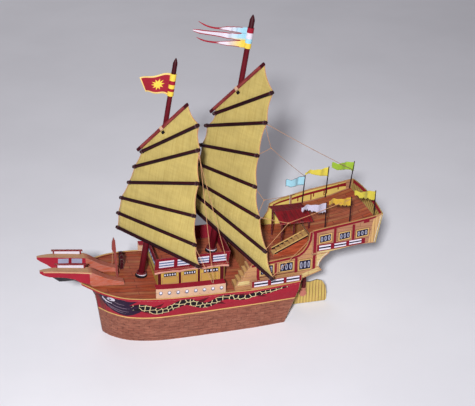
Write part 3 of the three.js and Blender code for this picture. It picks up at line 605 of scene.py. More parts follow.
def laid(host, view, outline, lift):
    """A closed plate under an outline, laid on the host and lifted off it."""
    right, ray, start = VIEWS[view]
    right, ray = Vector(right), Vector(ray)
    mesh = cut_up(outline)
    tops, roots = [], []
    for vert in mesh.verts:
        place, normal = meet(host, (right * vert.co.x + UP * vert.co.y - ray * start) * MM, ray, right)
        if normal.dot(ray) > 0:
            normal = -normal
        tops.append(place + normal * lift * MM)
        roots.append(place - normal * ROOT_DEPTH * MM)
    flip = right.cross(UP).dot(ray) > 0
    skin = []
    for face in mesh.faces:
        order = tuple(vert.index for vert in face.verts)
        skin.append(order if (face.normal.z < 0) == flip else order[::-1])
    mesh.free()
    return thickened(tops, roots, skin)


def plates(name, host, view, outlines, colour, lift, slot="wall_card"):
    """One piece of several printed plates on the same host."""
    return make(name, together(laid(host, view, outline, lift) for outline in outlines), colour, slot)


def paint(host, side, rows, slot="wall_card", view=None):
    """Plates on one side's host, from rows of name, outlines, ink or material, and lift."""
    for name, outlines, colour, lift in rows:
        plates(f"{name}_{side}", host, view or side, outlines, colour, lift, slot)


def block(x0, z0, x1, z1, slope=0.0):
    """A four-sided outline between two uprights, with its upper and lower edges sloping."""
    rise = slope * (x1 - x0)
    return [(x0, z0), (x1, z0 + rise), (x1, z1 + rise), (x0, z1)]


def oval(x, z, rx, rz, count=12):
    return [(x + rx * a, z + rz * b) for a, b in circle(count)]


def moved(points, offsets):
    """A line of (x, z) points moved to its left by an offset at each point."""
    line = []
    for i, (x, z) in enumerate(points):
        (xa, za), (xb, zb) = points[max(i - 1, 0)], points[min(i + 1, len(points) - 1)]
        length = math.hypot(xb - xa, zb - za)
        line.append((x - (zb - za) / length * offsets[i], z + (xb - xa) / length * offsets[i]))
    return line


def band(points, low, high, end=None):
    """A strip along a line of (x, z) points, between two offsets to its left; high may change to end."""
    change = 0 if end is None else end - high
    highs = [high + change * t for t in even(len(points) - 1)]
    return moved(points, [low] * len(points)) + moved(points, highs)[::-1]


def ribbon(points, half):
    """A closed strip round a line of (x, z) points that tapers to both ends."""
    wide = [half * (0.35 + 0.65 * math.sin(math.pi * t)) for t in even(len(points) - 1)]
    return moved(points, wide) + moved(points, [-w for w in wide])[::-1]


def between(stops, values, t):
    """A value at t on straight runs between rising stops."""
    for a, b, x, y in zip(stops, stops[1:], values, values[1:]):
        if t <= b:
            break
    return x + (y - x) * (t - a) / (b - a)


# Hull lines, as in the CAD
HULL = [
    # strake x, strake half, sheer x, sheer half, sheer z
    (-106, 42, -109.6, 48, 59.9), (-70, 44, -70.5, 49.4, 57.7), (-51.5, 44.8, -52, 49.7, 57.3),
    (-31, 45.3, -32, 49.8, 58.1), (22, 46.5, 23, 51.6, 60.4), (50, 45.5, 53, 52, 63),
    (74, 38.5, 78, 48, 65.2), (90, 26, 98, 37, 67.8), (98.5, 15, 112, 22, 69.2), (101, 12, 118, 15, 69.8)]
STRAKE_Z = 36
SHEER_SECTION = [
    (-0.2, -0.6), (0.35, -0.5), (0.5, -0.2), (0.4, 0.25), (-0.1, 0.4), (-1.15, 0.35), (-1.25, 0.02),
    (-0.2, 0.02)]
STRAKE_SECTION = [(-0.3, -0.6), (0.3, -0.5), (0.5, 0.0), (0.3, 0.5), (-0.3, 0.6)]


def spline(rows, steps=5):
    """The same smooth curve through rows of numbers as the CAD's."""
    curve = []
    for s in range(len(rows) - 1):
        p0, p1, p2, p3 = rows[max(s - 1, 0)], rows[s], rows[s + 1], rows[min(s + 2, len(rows) - 1)]
        for t in even(steps)[:-1]:
            curve.append(tuple(
                0.5 * (2 * b + (c - a) * t + (2 * a - 5 * b + 4 * c - d) * t ** 2
                       + (3 * b - a - 3 * c + d) * t ** 3)
                for a, b, c, d in zip(p0, p1, p2, p3)))
    return curve + [rows[-1]]


LINES = spline(HULL)


def sheer_at(x):
    """Half-breadth and height of the sheer."""
    _, _, stops, halves, heights = zip(*LINES)
    return between(stops, halves, x), between(stops, heights, x)


def add_hull_trim():
    """Lines from the stern along the port side, across the stem and back to starboard."""
    sheer = [mm(x, half, z) for _, _, x, half, z in LINES]
    strake = [mm(x, half, STRAKE_Z) for x, half, *_ in LINES]
    for name, port, section in (
            ("sheer_rail", sheer, SHEER_SECTION), ("strake_line", strake, STRAKE_SECTION)):
        starboard = [Vector((point.x, -point.y, point.z)) for point in reversed(port)]
        make(name, swept(port + starboard, section), "tan", "hull_card")


# Painted dragon of the traditional kind, drawn as simple shapes in (x, z) on both sides of the hull
DRAGON_SPINE = [
    # x, z, half-width
    (72, 50.5, 4.2), (64, 51.8, 4.6), (56.6, 50.4, 4.7), (50, 47.2, 4.6), (44.6, 45.4, 4.4), (37, 46.0, 4.2),
    (30.5, 48.4, 4.0), (23, 51.8, 3.9), (16.4, 53.2, 3.9), (11, 52.2, 3.9), (5.8, 49.6, 3.8), (0, 46.6, 3.7),
    (-6.7, 45.4, 3.6), (-13, 47.0, 3.5), (-19.2, 50.4, 3.4), (-24, 52.2, 3.3), (-30, 52.4, 3.2),
    (-36, 51.0, 3.1), (-43, 49.2, 3.0), (-49.9, 48.9, 2.9), (-57, 50.4, 2.8), (-64.4, 51.6, 2.6),
    (-73.5, 52.0, 2.3), (-80, 52.8, 1.9), (-88, 54.2, 1.4), (-96, 55.2, 0.8)]
DRAGON_HEAD = [
    (103.2, 63.5), (101.0, 57.0), (98.2, 51.0), (94.0, 45.6), (88.0, 41.2), (82.0, 38.6), (76.0, 38.0),
    (70.0, 40.2), (64.0, 44.2), (60.5, 47.6), (66.0, 47.0), (70.5, 48.2), (67.0, 50.6), (62.0, 53.8),
    (68.5, 53.6), (74.0, 54.6), (70.5, 57.4), (66.0, 60.6), (72.5, 60.0), (79.0, 60.4), (76.0, 62.6),
    (84.0, 62.8), (92.0, 64.2), (98.0, 64.4)]
DRAGON_LINES = [
    # pale strokes of the mane and jaw
    [(98.5, 54.0), (94.0, 49.5), (88.0, 46.4), (81.0, 44.6), (74.0, 44.6)],
    [(95.5, 50.0), (90.0, 45.2), (83.5, 42.4), (77.0, 41.6)],
    [(92.0, 53.0), (86.0, 50.0), (80.0, 49.0), (73.5, 49.6)],
    [(90.0, 57.2), (84.0, 54.6), (78.5, 54.2)]]
DRAGON_BROW = [(98.6, 60.0), (97.6, 55.6), (94.4, 53.0), (89.8, 52.8)]
DRAGON_FINS = [
    # root fore, root aft, tip
    ((52, 51.6), (44, 48.6), (38.5, 55.8)), ((22, 55.4), (13, 56.6), (8.0, 56.9)),
    ((4.0, 52.8), (-3.0, 49.6), (-9.5, 55.6)), ((-38, 53.8), (-46, 51.8), (-52.0, 55.6)),
    ((64, 47.4), (58, 46.0), (50.5, 40.6)), ((8, 46.8), (2, 43.4), (-4.0, 39.8)),
    ((-16, 45.4), (-22, 48.2), (-28.0, 43.2)), ((-60, 47.8), (-67, 49.2), (-74.0, 45.6))]
RIM = 0.3


def below_sheer(points, room=3.5):
    """Points in (x, z), none of them nearer than a room to the sheer."""
    return [(x, min(z, sheer_at(x)[1] - room)) for x, z in points]


def add_dragon(side):
    spine = spline(DRAGON_SPINE, 3)
    middle = [row[:2] for row in spine]
    upper, lower = (below_sheer(moved(middle, [row[2] * sign for row in spine])) for sign in (1, -1))
    quads = [[*two, *pair[::-1]] for two, pair in zip(zip(upper, upper[1:]), zip(lower, lower[1:]))]
    wider = (RIM, RIM, -RIM, -RIM)
    rims = [below_sheer([(x, z + rim) for (x, z), rim in zip(quad, wider)], 3.4) for quad in quads]
    paint("hull", side, [
        ("dragon_rim", rims, "black", 0.06),
        ("dragon_body", quads, SCALES, 0.12),
        ("dragon_fins", [below_sheer(fin) for fin in DRAGON_FINS], "maroon", 0.04),
        ("dragon_head", [below_sheer(DRAGON_HEAD)], "plum", 0.16),
        ("dragon_mane", [ribbon(line, 0.5) for line in DRAGON_LINES], "mane", 0.22),
        ("dragon_eye", [oval(91.2, 59.4, 3.7, 3.2), ribbon(DRAGON_BROW, 0.9)], "white", 0.22),
        ("dragon_pupil", [oval(92.0, 59.2, 1.1, 1.0)], "black", 0.28)], "hull_card")


# Windows, painted panels and posts of the quarterdeck and poop
WINDOW_LAYERS = [
    # suffix, ink, lift
    ("edges", "seam", 0.1), ("frames", "tan", 0.15), ("panes", "navy", 0.2), ("lattice", "lattice", 0.26),
    ("slits", "navy", 0.31)]
WINDOW_RIMS = (1.6, 1.2, 0)
WINDOW_BARS = 3


def window(x0, z0, x1, z1, slope):
    """Outlines of a window's layers: edge, frame, pane, the rings of its lattice and their dark middles."""
    aft = math.copysign(1, x1 - x0)
    rise = slope * (x1 - x0)
    layers = []
    for rim in WINDOW_RIMS:
        fore, far, low, high = x0 - aft * rim, x1 + aft * rim, z0 - rim, z1 + rim
        layers.append([[(fore, low), (far, low + rise), (far, high + rise), (fore, high)]])
    gap = (x1 - x0) / WINDOW_BARS
    centres = [(x0 + gap * (i + 0.5), (z0 + z1) / 2 + slope * gap * (i + 0.5)) for i in range(WINDOW_BARS)]
    for wide, tall, count in ((0.33, 0.38, 12), (0.12, 0.22, 8)):
        layers.append([oval(x, z, abs(gap) * wide, (z1 - z0) * tall, count) for x, z in centres])
    return layers


def add_windows(name, host, view, rows):
    for (suffix, colour, lift), drawn in zip(WINDOW_LAYERS, zip(*(window(*row) for row in rows))):
        plates(f"{name}_{suffix}", host, view, sum(drawn, []), colour, lift)


def add_stripes(name, host, view, rows, slot="wall_card", line="navy"):
    """Pale panels with lines across them."""
    grounds, stripes = [], []
    for x0, z0, x1, z1, slope, lines in rows:
        grounds.append(block(x0, z0, x1, z1, slope))
        tall = (z1 - z0) / (2 * lines + 1)
        lows = [z0 + tall * (2 * i + 1) for i in range(lines)]
        stripes += [block(x0, low, x1, low + tall, slope) for low in lows]
    plates(f"{name}_white", host, view, grounds, "white", 0.2, slot)
    plates(f"{name}_blue", host, view, stripes, line, 0.27, slot)


QUARTER_WINDOWS = [
    # fore x, bottom z, aft x, top z, slope
    (-66.0, 71.2, -79.5, 81.0, 0.0), (-87.7, 71.4, -101.9, 81.0, 0.0), (-109.4, 70.0, -122.2, 80.6, 0.0)]
QUARTER_POSTS = [
    block(-61.5, 66.0, -64.4, 82.4), block(-81.8, 67.4, -84.0, 82.6), block(-104.2, 67.4, -107.2, 85.0),
    block(-124.6, 67.8, -127.6, 86.2)]
QUARTER_EDGE = {
    "port": [(-56, 84.6), (-78.4, 85.8), (-103, 87.5), (-108.5, 88.9), (-112.9, 92.2), (-116.8, 97.5),
             (-119.4, 104), (-120.4, 113.2)],
    "starboard": [(-56, 84.6), (-78.4, 85.8), (-88, 87.4), (-94, 91.6), (-98.4, 99), (-100.3, 108.6),
                  (-111.8, 113.8), (-122.9, 116.9)]}
QUARTER_INSIDE = {
    "port": [(-60, 83.4), (-118, 83.4), (-118, 104), (-110, 89.4), (-96, 86.4), (-60, 84.4)],
    "starboard": [(-60, 83.4), (-123, 83.4), (-123, 116.2), (-112, 113.2), (-101.2, 108.2), (-99.2, 99.2),
                  (-94.6, 91.9), (-88.4, 87.2), (-60, 84.4)]}
QUARTER_STRIPE = [(-104, 107.4), (-112, 110.7), (-123, 113.8), (-123, 111.6), (-112, 108.6), (-104, 105.6)]
QUARTER_FLARE = [
    (-128.8, 70.8), (-131.4, 71.0), (-131.8, 75.2), (-135.2, 80.6), (-141.4, 85.2), (-129.4, 84.8)]
QUARTER_SILL = [(-63.0, 67.6), (-124.0, 68.4), (-124.0, 69.2), (-63.0, 68.6)]
GALLERY_GROUND = [(-55.4, 59.6), (-110.4, 60.4), (-110.4, 67.0), (-55.4, 66.9)]
GALLERY_PLANKS = [
    [(-40.2, 62.2), (-53.8, 61.6), (-53.8, 66.4), (-46.2, 66.8), (-42.0, 66.2)],
    [(-111.6, 59.8), (-134.2, 66.0), (-130.6, 69.6), (-112.4, 64.2)]]
GALLERY_PANELS = [
    # fore x, bottom z, aft x, top z, slope, lines
    (-58, 60.2, -72.8, 65.8, -0.01, 1), (-76.5, 60.4, -90.4, 66.0, -0.01, 1),
    (-93.7, 60.8, -108, 66.4, -0.01, 1)]
POOP_WINDOWS = [
    (-131.6, 99.2, -143.4, 106.9, -0.16), (-152.9, 100.6, -164.2, 108.1, -0.16),
    (-172.0, 102.2, -183.8, 109.5, -0.14)]
POOP_STRIPS = [
    (-131, 90.2, -143.7, 95.6, -0.07, 1), (-147.7, 91.7, -160.6, 96.6, -0.09, 1),
    (-164, 93.9, -177.4, 98.4, -0.09, 1)]
POOP_STRIP_GROUND = [(-128.8, 88.9), (-181.5, 94.0), (-181.5, 100.2), (-128.8, 96.8)]
POOP_PLANK = [(-129.4, 86.4), (-184.6, 92.2), (-184.6, 93.8), (-129.4, 88.4)]
POOP_POSTS = [
    block(-124.6, 87.6, -127.9, 112.6), block(-146.4, 97.2, -149.2, 114.8),
    block(-166.6, 99.2, -169.4, 117.6), block(-178.6, 118.0, -184.8, 121.8, -0.16)]
POOP_END = [(-185.0, 94.2), (-191.3, 94.4), (-197.2, 126.4), (-189.4, 122.3)]
POOP_TOP = {
    "port": [(-123.5, 113.9), (-150, 118.4), (-167, 121), (-186, 124.4), (-198.0, 127.5)],
    "starboard": [(-123.5, 117.2), (-145.5, 121.2), (-165, 123.6), (-184, 125.8), (-198.0, 127.6)]}
POOP_TOP_END = (-191.5, 125.6)
POOP_INSIDE = [
    # x, z, share of the drop on the port side
    (-125.5, 106.6, 0), (-150, 108.6, 0), (-172, 112.0, 0), (-190, 117.0, 0), (-190, 125.4, 0.2),
    (-165, 122.6, 0.75), (-145.5, 120.2, 0.8), (-125.5, 116.6, 0.9)]
POOP_STRIPE = [
    (-125.5, 114.0, 1), (-141.4, 117.4, 1), (-181, 123.2, 0.6), (-190, 124.6, 0.6), (-190, 120.0, 0.6),
    (-181, 120.0, 0.6), (-141.4, 114.6, 1), (-125.5, 111.4, 1)]
POOP_INNER_POSTS = [
    block(x, z, x - 1.3, z + 6.6) for x, z in (
        (-132, 108.8), (-147.6, 108.8), (-150.6, 112), (-163.2, 112), (-166.2, 113.8), (-180, 117))]
POOP_DECK = ((123.7, 150, 172, 196), (104.5, 107, 110.5, 117.4))
PORT_DROP = 3.2
CAP_SECTION = block(-0.75, -0.15, 0.75, 0.35)
CAP_INSET = 0.4
# walls: x of the fore end, length, half-breadth at the fore end, its change to the after end
QUARTER_PLAN = (-54, -69, 45.5, -4.5)
POOP_PLAN = (-123.5, -75.5, 40.5, 3.7)


def add_quarter_paint(side):
    host = f"quarter_side_{side}"
    paint(host, side, [
        ("quarter_posts", QUARTER_POSTS, "cap", 0.1),
        ("quarter_top_band", [band(QUARTER_EDGE[side], 0.25, 2.9)], "cap", 0.12),
        ("gallery_ground", [GALLERY_GROUND], "cap", 0.12),
        ("gallery_plank", GALLERY_PLANKS, PLANKS["yellow"], 0.12),
        ("quarter_flare", [QUARTER_FLARE], PLANKS["yellow"], 0.1),
        ("quarter_flare_edge", [band(QUARTER_FLARE[1:5], -0.9, 0)], "paper", 0.16),
        ("quarter_sill", [QUARTER_SILL], "seam", 0.08)])
    add_windows(f"quarter_window_{side}", host, side, QUARTER_WINDOWS)
    add_stripes(f"gallery_{side}", host, side, GALLERY_PANELS)
    plates(f"quarter_inner_panel_{side}", host, f"inside_{side}", [QUARTER_INSIDE[side]], "inner_yellow", 0.1)


def add_poop_paint(side):
    host = f"poop_side_{side}"
    paint(host, side, [
        ("poop_posts", POOP_POSTS, "cap", 0.1),
        ("poop_top_band", [band(POOP_TOP[side][:-1] + [POOP_TOP_END], 0.25, 3.4, 2.0)], "cap", 0.14),
        ("poop_strip_ground", [POOP_STRIP_GROUND], "cap", 0.12),
        ("poop_plank", [POOP_PLANK], PLANKS["yellow"], 0.1),
        ("poop_end", [POOP_END], PLANKS["end"], 0.12),
        ("poop_end_edge", [band(POOP_END[1:3], 0, 0.9)], "paper", 0.18)])
    add_windows(f"poop_window_{side}", host, side, POOP_WINDOWS)
    add_stripes(f"poop_strip_{side}", host, side, POOP_STRIPS)


def add_inner_walls():
    """The inner faces of the bulwarks: yellow panels, a crimson stripe and crimson posts."""
    plates("quarter_inner_stripe", "quarter_side_starboard", "inside_starboard", [QUARTER_STRIPE],
           "dark_crimson", 0.18)
    for side, drop in (("starboard", 0), ("port", PORT_DROP)):
        panel, stripe = ([(x, z - drop * share) for x, z, share in rows]
                         for rows in (POOP_INSIDE, POOP_STRIPE))
        paint(f"poop_side_{side}", side, [
            ("poop_inner_panel", [panel], "inner_yellow", 0.1),
            ("poop_inner_stripe", [stripe], "dark_crimson", 0.18),
            ("poop_inner_posts", POOP_INNER_POSTS, "dark_crimson", 0.22)], view=f"inside_{side}")


def half_at(x, plan):
    """Half-breadth of a wall at a place along it."""
    start, length, half, change = plan
    return half + change * (x - start) / length


def add_wall_caps():
    """Card edges along the tops of the side walls."""
    for side, sign in SIDES:
        for word, plan, line in (
                ("quarter", QUARTER_PLAN, QUARTER_EDGE[side]), ("poop", POOP_PLAN, POOP_TOP[side])):
            path = [mm(x, sign * (half_at(x, plan) - CAP_INSET), z) for x, z in line]
            make(f"{word}_cap_{side}", swept(path, CAP_SECTION, ACROSS), "orange_tan", "wall_card")


# Deckhouse, balustrade, bow, transom, stairs and bulwarks
HOUSE_POSTS = [
    block(39.9, 62.6, 36.5, 79.2), block(17.8, 61.2, 15.2, 79.2), block(-2.7, 60.2, -5.2, 79.2),
    block(-26.9, 59.2, -31.1, 79.2)]
HOUSE_BAYS = [
    # fore x, aft x, bottom z
    (35.0, 19.4, 63.4), (13.8, -1.0, 62.4), (-6.8, -25.4, 61.2)]
HOUSE_LIGHTS = [block(33.6, 71.6, 20.2, 75.6), block(12.2, 71.4, -0.6, 75.4), block(-9.0, 71.0, -25.0, 75.2)]
BALUSTRADE_PANELS = [
    (39.2, 85.2, 23.6, 93.6, 0.0, 2), (19.7, 85.2, 2.6, 93.6, 0.0, 2), (-1.8, 85.2, -13.8, 93.6, 0.0, 2),
    (-18.0, 85.2, -32.4, 93.6, 0.0, 2)]
BALUSTRADE_ENDS = [
    # suffix, outlines, ink, lift: a yellow band below and a blue one with pale waves above it
    ("panel", [block(-28, 83.0, 28, 87.8)], "gold", 0.12),
    ("blue", [block(-28.4, 88.4, 28.4, 91.6)], "slate", 0.12),
    ("waves", [oval(y, 90, 2.6, 0.8) for y in range(-24, 25, 8)], "white", 0.2)]
EAVE_FORE, EAVE_AFT, EAVE_WAVES = 44.0, -35.5, 3
WING_PANELS = [
    # corners of the pale panels on the wings' inner sides
    [(138.1, 87.2), (127.3, 86.4), (127.6, 81.0), (138.4, 81.9)],
    [(124.2, 86.0), (113.3, 84.6), (113.5, 79.2), (124.4, 80.6)]]
WING_DIVIDER = [(126.9, 86.3), (124.6, 86.1), (124.9, 80.4), (127.2, 80.8)]
WING_TOP = [
    (107.5, 83.4), (110.5, 84.6), (120, 86.0), (125, 86.8), (134, 88.0), (140, 88.8), (150, 89.6),
    (156, 89.8)]
STAIR_STRING = [(-85.0, 87.4), (-121.2, 104.6)]
RING_XS = (42.1, 33.1, 23.9, 14.6, 5.2, -4.0, -13.2, -22.4)
RING_UP, ROUND_UP, LID_UP, LID_INSET = 6.4, 6.9, 11.9, 4.1
TRANSOM_SIDE_Z, TRANSOM_CROWN, TRANSOM_HALF = 127.4, 4, 44.2
RAY_FOOT_PITCH, RAY_TOP_PITCH, RAY_HALF, RAY_GAP = 4.2, 4.6, 0.25, 3.8


def add_house_paint(side):
    slots = [oval(x0 + (x1 - x0) * t, (z0 + z1) / 2, (x0 - x1) * 0.06, 1.1, 8)
             for (x0, z0), _, (x1, z1), _ in HOUSE_LIGHTS for t in (0.1, 0.3, 0.5, 0.7, 0.9)]
    panels, edges = ([block(a + w, z - w, b - w, 70.2 + w) for a, b, z in HOUSE_BAYS] for w in (0, 0.6))
    paint("deckhouse_walls", side, [
        ("house_posts", HOUSE_POSTS, "maroon", 0.14),
        ("house_panel_edges", edges, "salmon", 0.08),
        ("house_panels", panels, "ochre", 0.14),
        ("house_lights", HOUSE_LIGHTS, "navy", 0.14),
        ("house_light_bars", slots, "white", 0.2)])
    add_stripes(f"balustrade_{side}", "deckhouse_balustrade", side, BALUSTRADE_PANELS,
                "crimson_card", "slate")


def add_balustrade_ends():
    for word, view in (("fore", "ahead"), ("aft", "astern")):
        for suffix, outlines, colour, lift in BALUSTRADE_ENDS:
            plates(f"balustrade_{word}_{suffix}", "deckhouse_balustrade", view, outlines, colour, lift,
                   "crimson_card")


def add_eaves(side):
    """A pale line along the wavy lower edge of the deckhouse roof, as its valance is drawn."""
    points = []
    for t in even(36):
        swing = 1 - abs(2 * (t * EAVE_WAVES % 1) - 1) ** 2
        points.append((EAVE_FORE + (EAVE_AFT - EAVE_FORE) * t, 77.5 + 1.5 * swing))
    paint("deckhouse_roof", side, [
        ("eave_line", [band(points, -2.2, -0.1)], "valance", 0.12),
        ("eave_dark", [band([(EAVE_FORE, 81.6), (EAVE_AFT, 81.6)], 0, 0.9)], "dark_crimson", 0.12)])


def add_bow_paint(side):
    """Framed panels on the wing's inner side, and a sandy strip along its outer top edge."""
    host = f"bow_wing_{side}"
    paint(host, side, [
        ("wing_panels", WING_PANELS, "panel_grey", 0.12),
        ("wing_divider", [WING_DIVIDER], "dark_crimson", 0.2)], "crimson_card", f"inside_{side}")
    paint(host, side, [("wing_edge", [band(WING_TOP, -1.5, -0.1)], "sand", 0.12)], "crimson_card")


def transom_top(y):
    return TRANSOM_SIDE_Z + TRANSOM_CROWN * (1 - (y / TRANSOM_HALF) ** 2)


def transom_ray(k, low):
    foot, top = k * RAY_FOOT_PITCH, k * RAY_TOP_PITCH
    high = transom_top(top) - RAY_GAP
    return [(foot - RAY_HALF, low), (foot + RAY_HALF, low), (top + RAY_HALF, high), (top - RAY_HALF, high)]


def add_transom_paint():
    """A crimson arch along the transom's top and dark rays below it, and windows on its after face."""
    arch = band([(y, transom_top(y)) for y in range(-42, 43, 6)], -3.9, -0.3)
    faces = [("inner", "ahead", 118.6, range(-9, 10)), ("outer", "astern", 96.0, (-9, -8, 8, 9))]
    rows = [row for word, view, low, places in faces for row in (
        (f"arch_{word}", view, [arch], "crimson", 0.14),
        (f"rays_{word}", view, [transom_ray(k, low) for k in places], "seam", 0.1))]
    rows += [
        ("bands", "astern", [block(-36, 96.6, 36, 99.2), block(-36, 117.6, 36, 119.2)], "crimson", 0.12),
        ("round", "astern", [oval(0, 123.4, 3.4, 3.0, 20)], "slate", 0.14),
        ("round_middle", "astern", [oval(0, 123.4, 1.9, 1.7, 16)], "white", 0.2)]
    for name, view, outlines, colour, lift in rows:
        plates(f"transom_{name}", "poop_transom", view, outlines, colour, lift)
    windows = [(y, 104.0, y + 14, 113.0, 0.0) for y in (-27, -7, 13)]
    add_windows("transom_window", "poop_transom", "astern", windows)


def add_stair_strings():
    """Strings of the poop stairs: a tan edge over a dark band."""
    for side, y in (("port", 30.5), ("starboard", 19.5)):
        path = [mm(x, y, z) for x, z in STAIR_STRING]
        for suffix, section, colour in (("top", block(-0.5, 0, 0.5, 0.9), "tan"),
                                        ("band", block(-0.35, -1.7, 0.35, 0), "black")):
            make(f"stair_string_poop_{side}_{suffix}", swept(path, section, ACROSS), colour, "wall_card")


def add_bulwark_paint(side, sign):
    heights = [(x, sheer_at(x)[1]) for x in RING_XS]
    paint(f"midship_bulwark_{side}", side, [
        ("bulwark_rings", [oval(x, z + RING_UP, 2.0, 2.3) for x, z in heights], "ring", 0.14),
        ("bulwark_rounds", [oval(x, z + ROUND_UP, 1.3, 1.3) for x, z in heights], "white", 0.22)],
        "pale_card")
    path = [mm(x, sign * (sheer_at(x)[0] - LID_INSET), sheer_at(x)[1] + LID_UP)
            for x in (*range(-27, 48, 6), 47)]
    lid = swept(path, block(-4.55, -0.05, 4.55, 0.3), ACROSS)
    make(f"bulwark_lid_{side}", lid, "crimson", "crimson_card")


# Masts and sails
MASTS = {
    "foremast": {"foot": (53, 0, 62), "rake": 9.6, "length": 242, "radii": (3.4, 2.3), "disc": 0.1},
    "mainmast": {"foot": (-23.4, 0, 82.5), "rake": 9.1, "length": 260, "radii": (3.6, 2.6), "disc": 0.4}}
DISC = [(6.2, -0.8), (6.5, -0.5), (6.4, 0.5), (6.0, 0.8)]
SAILS = {
    # luff and leech: how far the cloth ends inside the sticks, and its hollow between them
    # rows: both ends (u, v) of the boom, the battens and the yard
    "foresail": {"mast": "foremast", "swing": 50, "luff": (0.5, 0.6), "leech": (1.5, 2.6), "rows": [
        (-37, 44, 74, 45), (-39, 60, 66, 66), (-38, 78, 59, 96), (-31, 98, 56, 131), (-27, 117, 50, 165),
        (-20.5, 136, 44, 189), (-22.4, 140, 26.5, 204.5)]},
    "mainsail": {"mast": "mainmast", "swing": 55, "luff": (1.5, 2.6), "leech": (1.5, 2.6), "rows": [
        (-29.5, 39.5, 89.5, 8), (-36, 57, 75, 33), (-37.5, 70.5, 58, 65), (-37, 89.5, 47.5, 95),
        (-34.5, 110.5, 43, 128), (-31.5, 133, 45, 164.5), (-23, 149, 45.5, 196.5), (-25, 153, 28, 220)]}}
YARD_PAST = 5
YARD_SECTION = [
    (-1.7, -0.5), (-1.4, -0.8), (1.4, -0.8), (1.7, -0.5), (1.7, 0.5), (1.4, 0.8), (-1.4, 0.8), (-1.7, 0.5)]
LOOP_SECTION = [(2.15, -1.0), (1.9, 1.1), (-1.9, 1.1), (-2.15, -1.0)]
CLOTH_FACE, YARD_FACE, BATTEN_FACE = 4.25, 5.6, 6.6
BATTEN_R = 1.8
CLOTH_THICK, PAPER_THICK = 0.3, 0.25
CLOTH_STEPS, BAY_STEPS = 30, 8
BELLY, RIPPLE = 0.95, 0.18
BOLT_ROPE_R = 0.42
LASH_BACK, LASH_STEPS, LASH_TURNS = 3.2, 14, 3
LASH_RADIUS, LASH_WIDTH, LASH_THREAD_R = 2.0, 1.3, 0.28
SLEEVE_OUT = 0.75


def mast_frame(word, swing=0):
    """A mast's frame: X along the sail's chord, Y up the mast, Z out of the sail's port face."""
    lean, turn = math.radians(MASTS[word]["rake"]), math.radians(swing)
    up = Vector((-math.sin(lean), 0, math.cos(lean)))
    chord = Vector((-math.cos(turn), math.sin(turn), 0))
    chord = (chord - up * chord.dot(up)).normalized()
    foot = Matrix.Translation(mm(*MASTS[word]["foot"]))
    return foot @ Matrix((chord, up, chord.cross(up))).transposed().to_4x4()


def add_masts():
    for word, mast in MASTS.items():
        start, end = (mast_frame(word) @ mm(0, v, 0) for v in (1, mast["length"]))
        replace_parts(stick(f"{word}_spar", start, end, mast["radii"], MAST_WOOD, tip=5), word)
        foot = Matrix.Translation(mm(*mast["foot"]) + mm(0, 0, mast["disc"]))
        make(f"{word}_step", turned(DISC, 28), "black", "batten_wood", placement=foot)


def run(u0, v0, u1, v1):
    """The direction of a boom, batten or yard in its mast's frame."""
    return Vector((u1 - u0, v1 - v0, 0)).normalized()


def edge_point(a, b, hollow, s):
    """A point on a cloth edge between two batten ends, pulled in by its hollow."""
    (ua, va), (ub, vb) = a, b
    length = math.hypot(ub - ua, vb - va)
    bow = 4 * min(hollow, length / 8) / length * s * (1 - s)
    return ua + (ub - ua) * s + (vb - va) * bow, va + (vb - va) * s - (ub - ua) * bow


def cloth_grid(sail):
    """Rows of cloth points (u, v, n) in millimetres, boom to yard, with a soft belly between the battens."""
    (fore, luff_hollow), (aft, leech_hollow) = sail["luff"], sail["leech"]
    ends = []
    for u0, v0, u1, v1 in sail["rows"]:
        length = math.hypot(u1 - u0, v1 - v0)
        du, dv = (u1 - u0) / length, (v1 - v0) / length
        ends.append(((u0 + du * fore, v0 + dv * fore), (u1 - du * aft, v1 - dv * aft)))
    grid = []
    for i, (low, high) in enumerate(zip(ends, ends[1:])):
        for s in even(BAY_STEPS)[:None if i == len(ends) - 2 else -1]:
            luff = edge_point(low[0], high[0], luff_hollow, s)
            leech = edge_point(high[1], low[1], leech_hollow, 1 - s)
            row = []
            for t in even(CLOTH_STEPS):
                belly = math.sin(math.pi * s) * math.sin(math.pi * t) ** 0.6
                ripple = RIPPLE * math.sin(t * 9 + i * 2.1) * math.sin(math.pi * s)
                row.append((luff[0] + (leech[0] - luff[0]) * t, luff[1] + (leech[1] - luff[1]) * t,
                            CLOTH_FACE + BELLY * belly + ripple))
            grid.append(row)
    return grid


def grid_area(grid):
    """Area of the cloth along a grid, in square metres."""
    total = 0.0
    for low, high in zip(grid, grid[1:]):
        for a, b, c, d in zip(low, low[1:], high[1:], high):
            for p, q, r in ((a, b, c), (a, c, d)):
                total += (Vector(q) - Vector(p)).cross(Vector(r) - Vector(p)).length / 2
    return total * MM * MM


def grid_skin(grid, thick):
    """A closed thin skin over a grid of points in millimetres."""
    tops, roots = ([mm(u, v, n + away) for row in grid for u, v, n in row]
                   for away in (thick / 2, -thick / 2))
    columns = len(grid[0])
    corners = [r * columns + c for r in range(len(grid) - 1) for c in range(columns - 1)]
    return thickened(tops, roots, [(a, a + 1, a + columns + 1, a + columns) for a in corners])


def add_sheet(name, grids, thick, material, placement, body, node, slot):
    """A cloth or paper sheet of one or more grids that meet, with their UV map, in a CAD node's place."""
    shape = together(grid_skin(grid, thick) for grid in grids)
    piece = make(name, shape, material, slot, body, placement, True)
    marks = []
    for grid in grids:
        marks += 2 * [(u, v) for v in even(len(grid) - 1) for u in even(len(grid[0]) - 1)]
    layer = piece.data.uv_layers.new(name="flat")
    for loop in piece.data.loops:
        layer.data[loop.index].uv = marks[loop.vertex_index]
    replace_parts(piece, node)
    across, along, _ = zip(*(point for grid in grids for row in grid for point in row))
    wide, tall = ((max(values) - min(values)) * MM for values in (across, along))
    area = sum(grid_area(grid) for grid in grids)
    scale = max(1.0, math.sqrt(area / (wide * tall)) * 1.001)
    wide * scale
    tall * scale


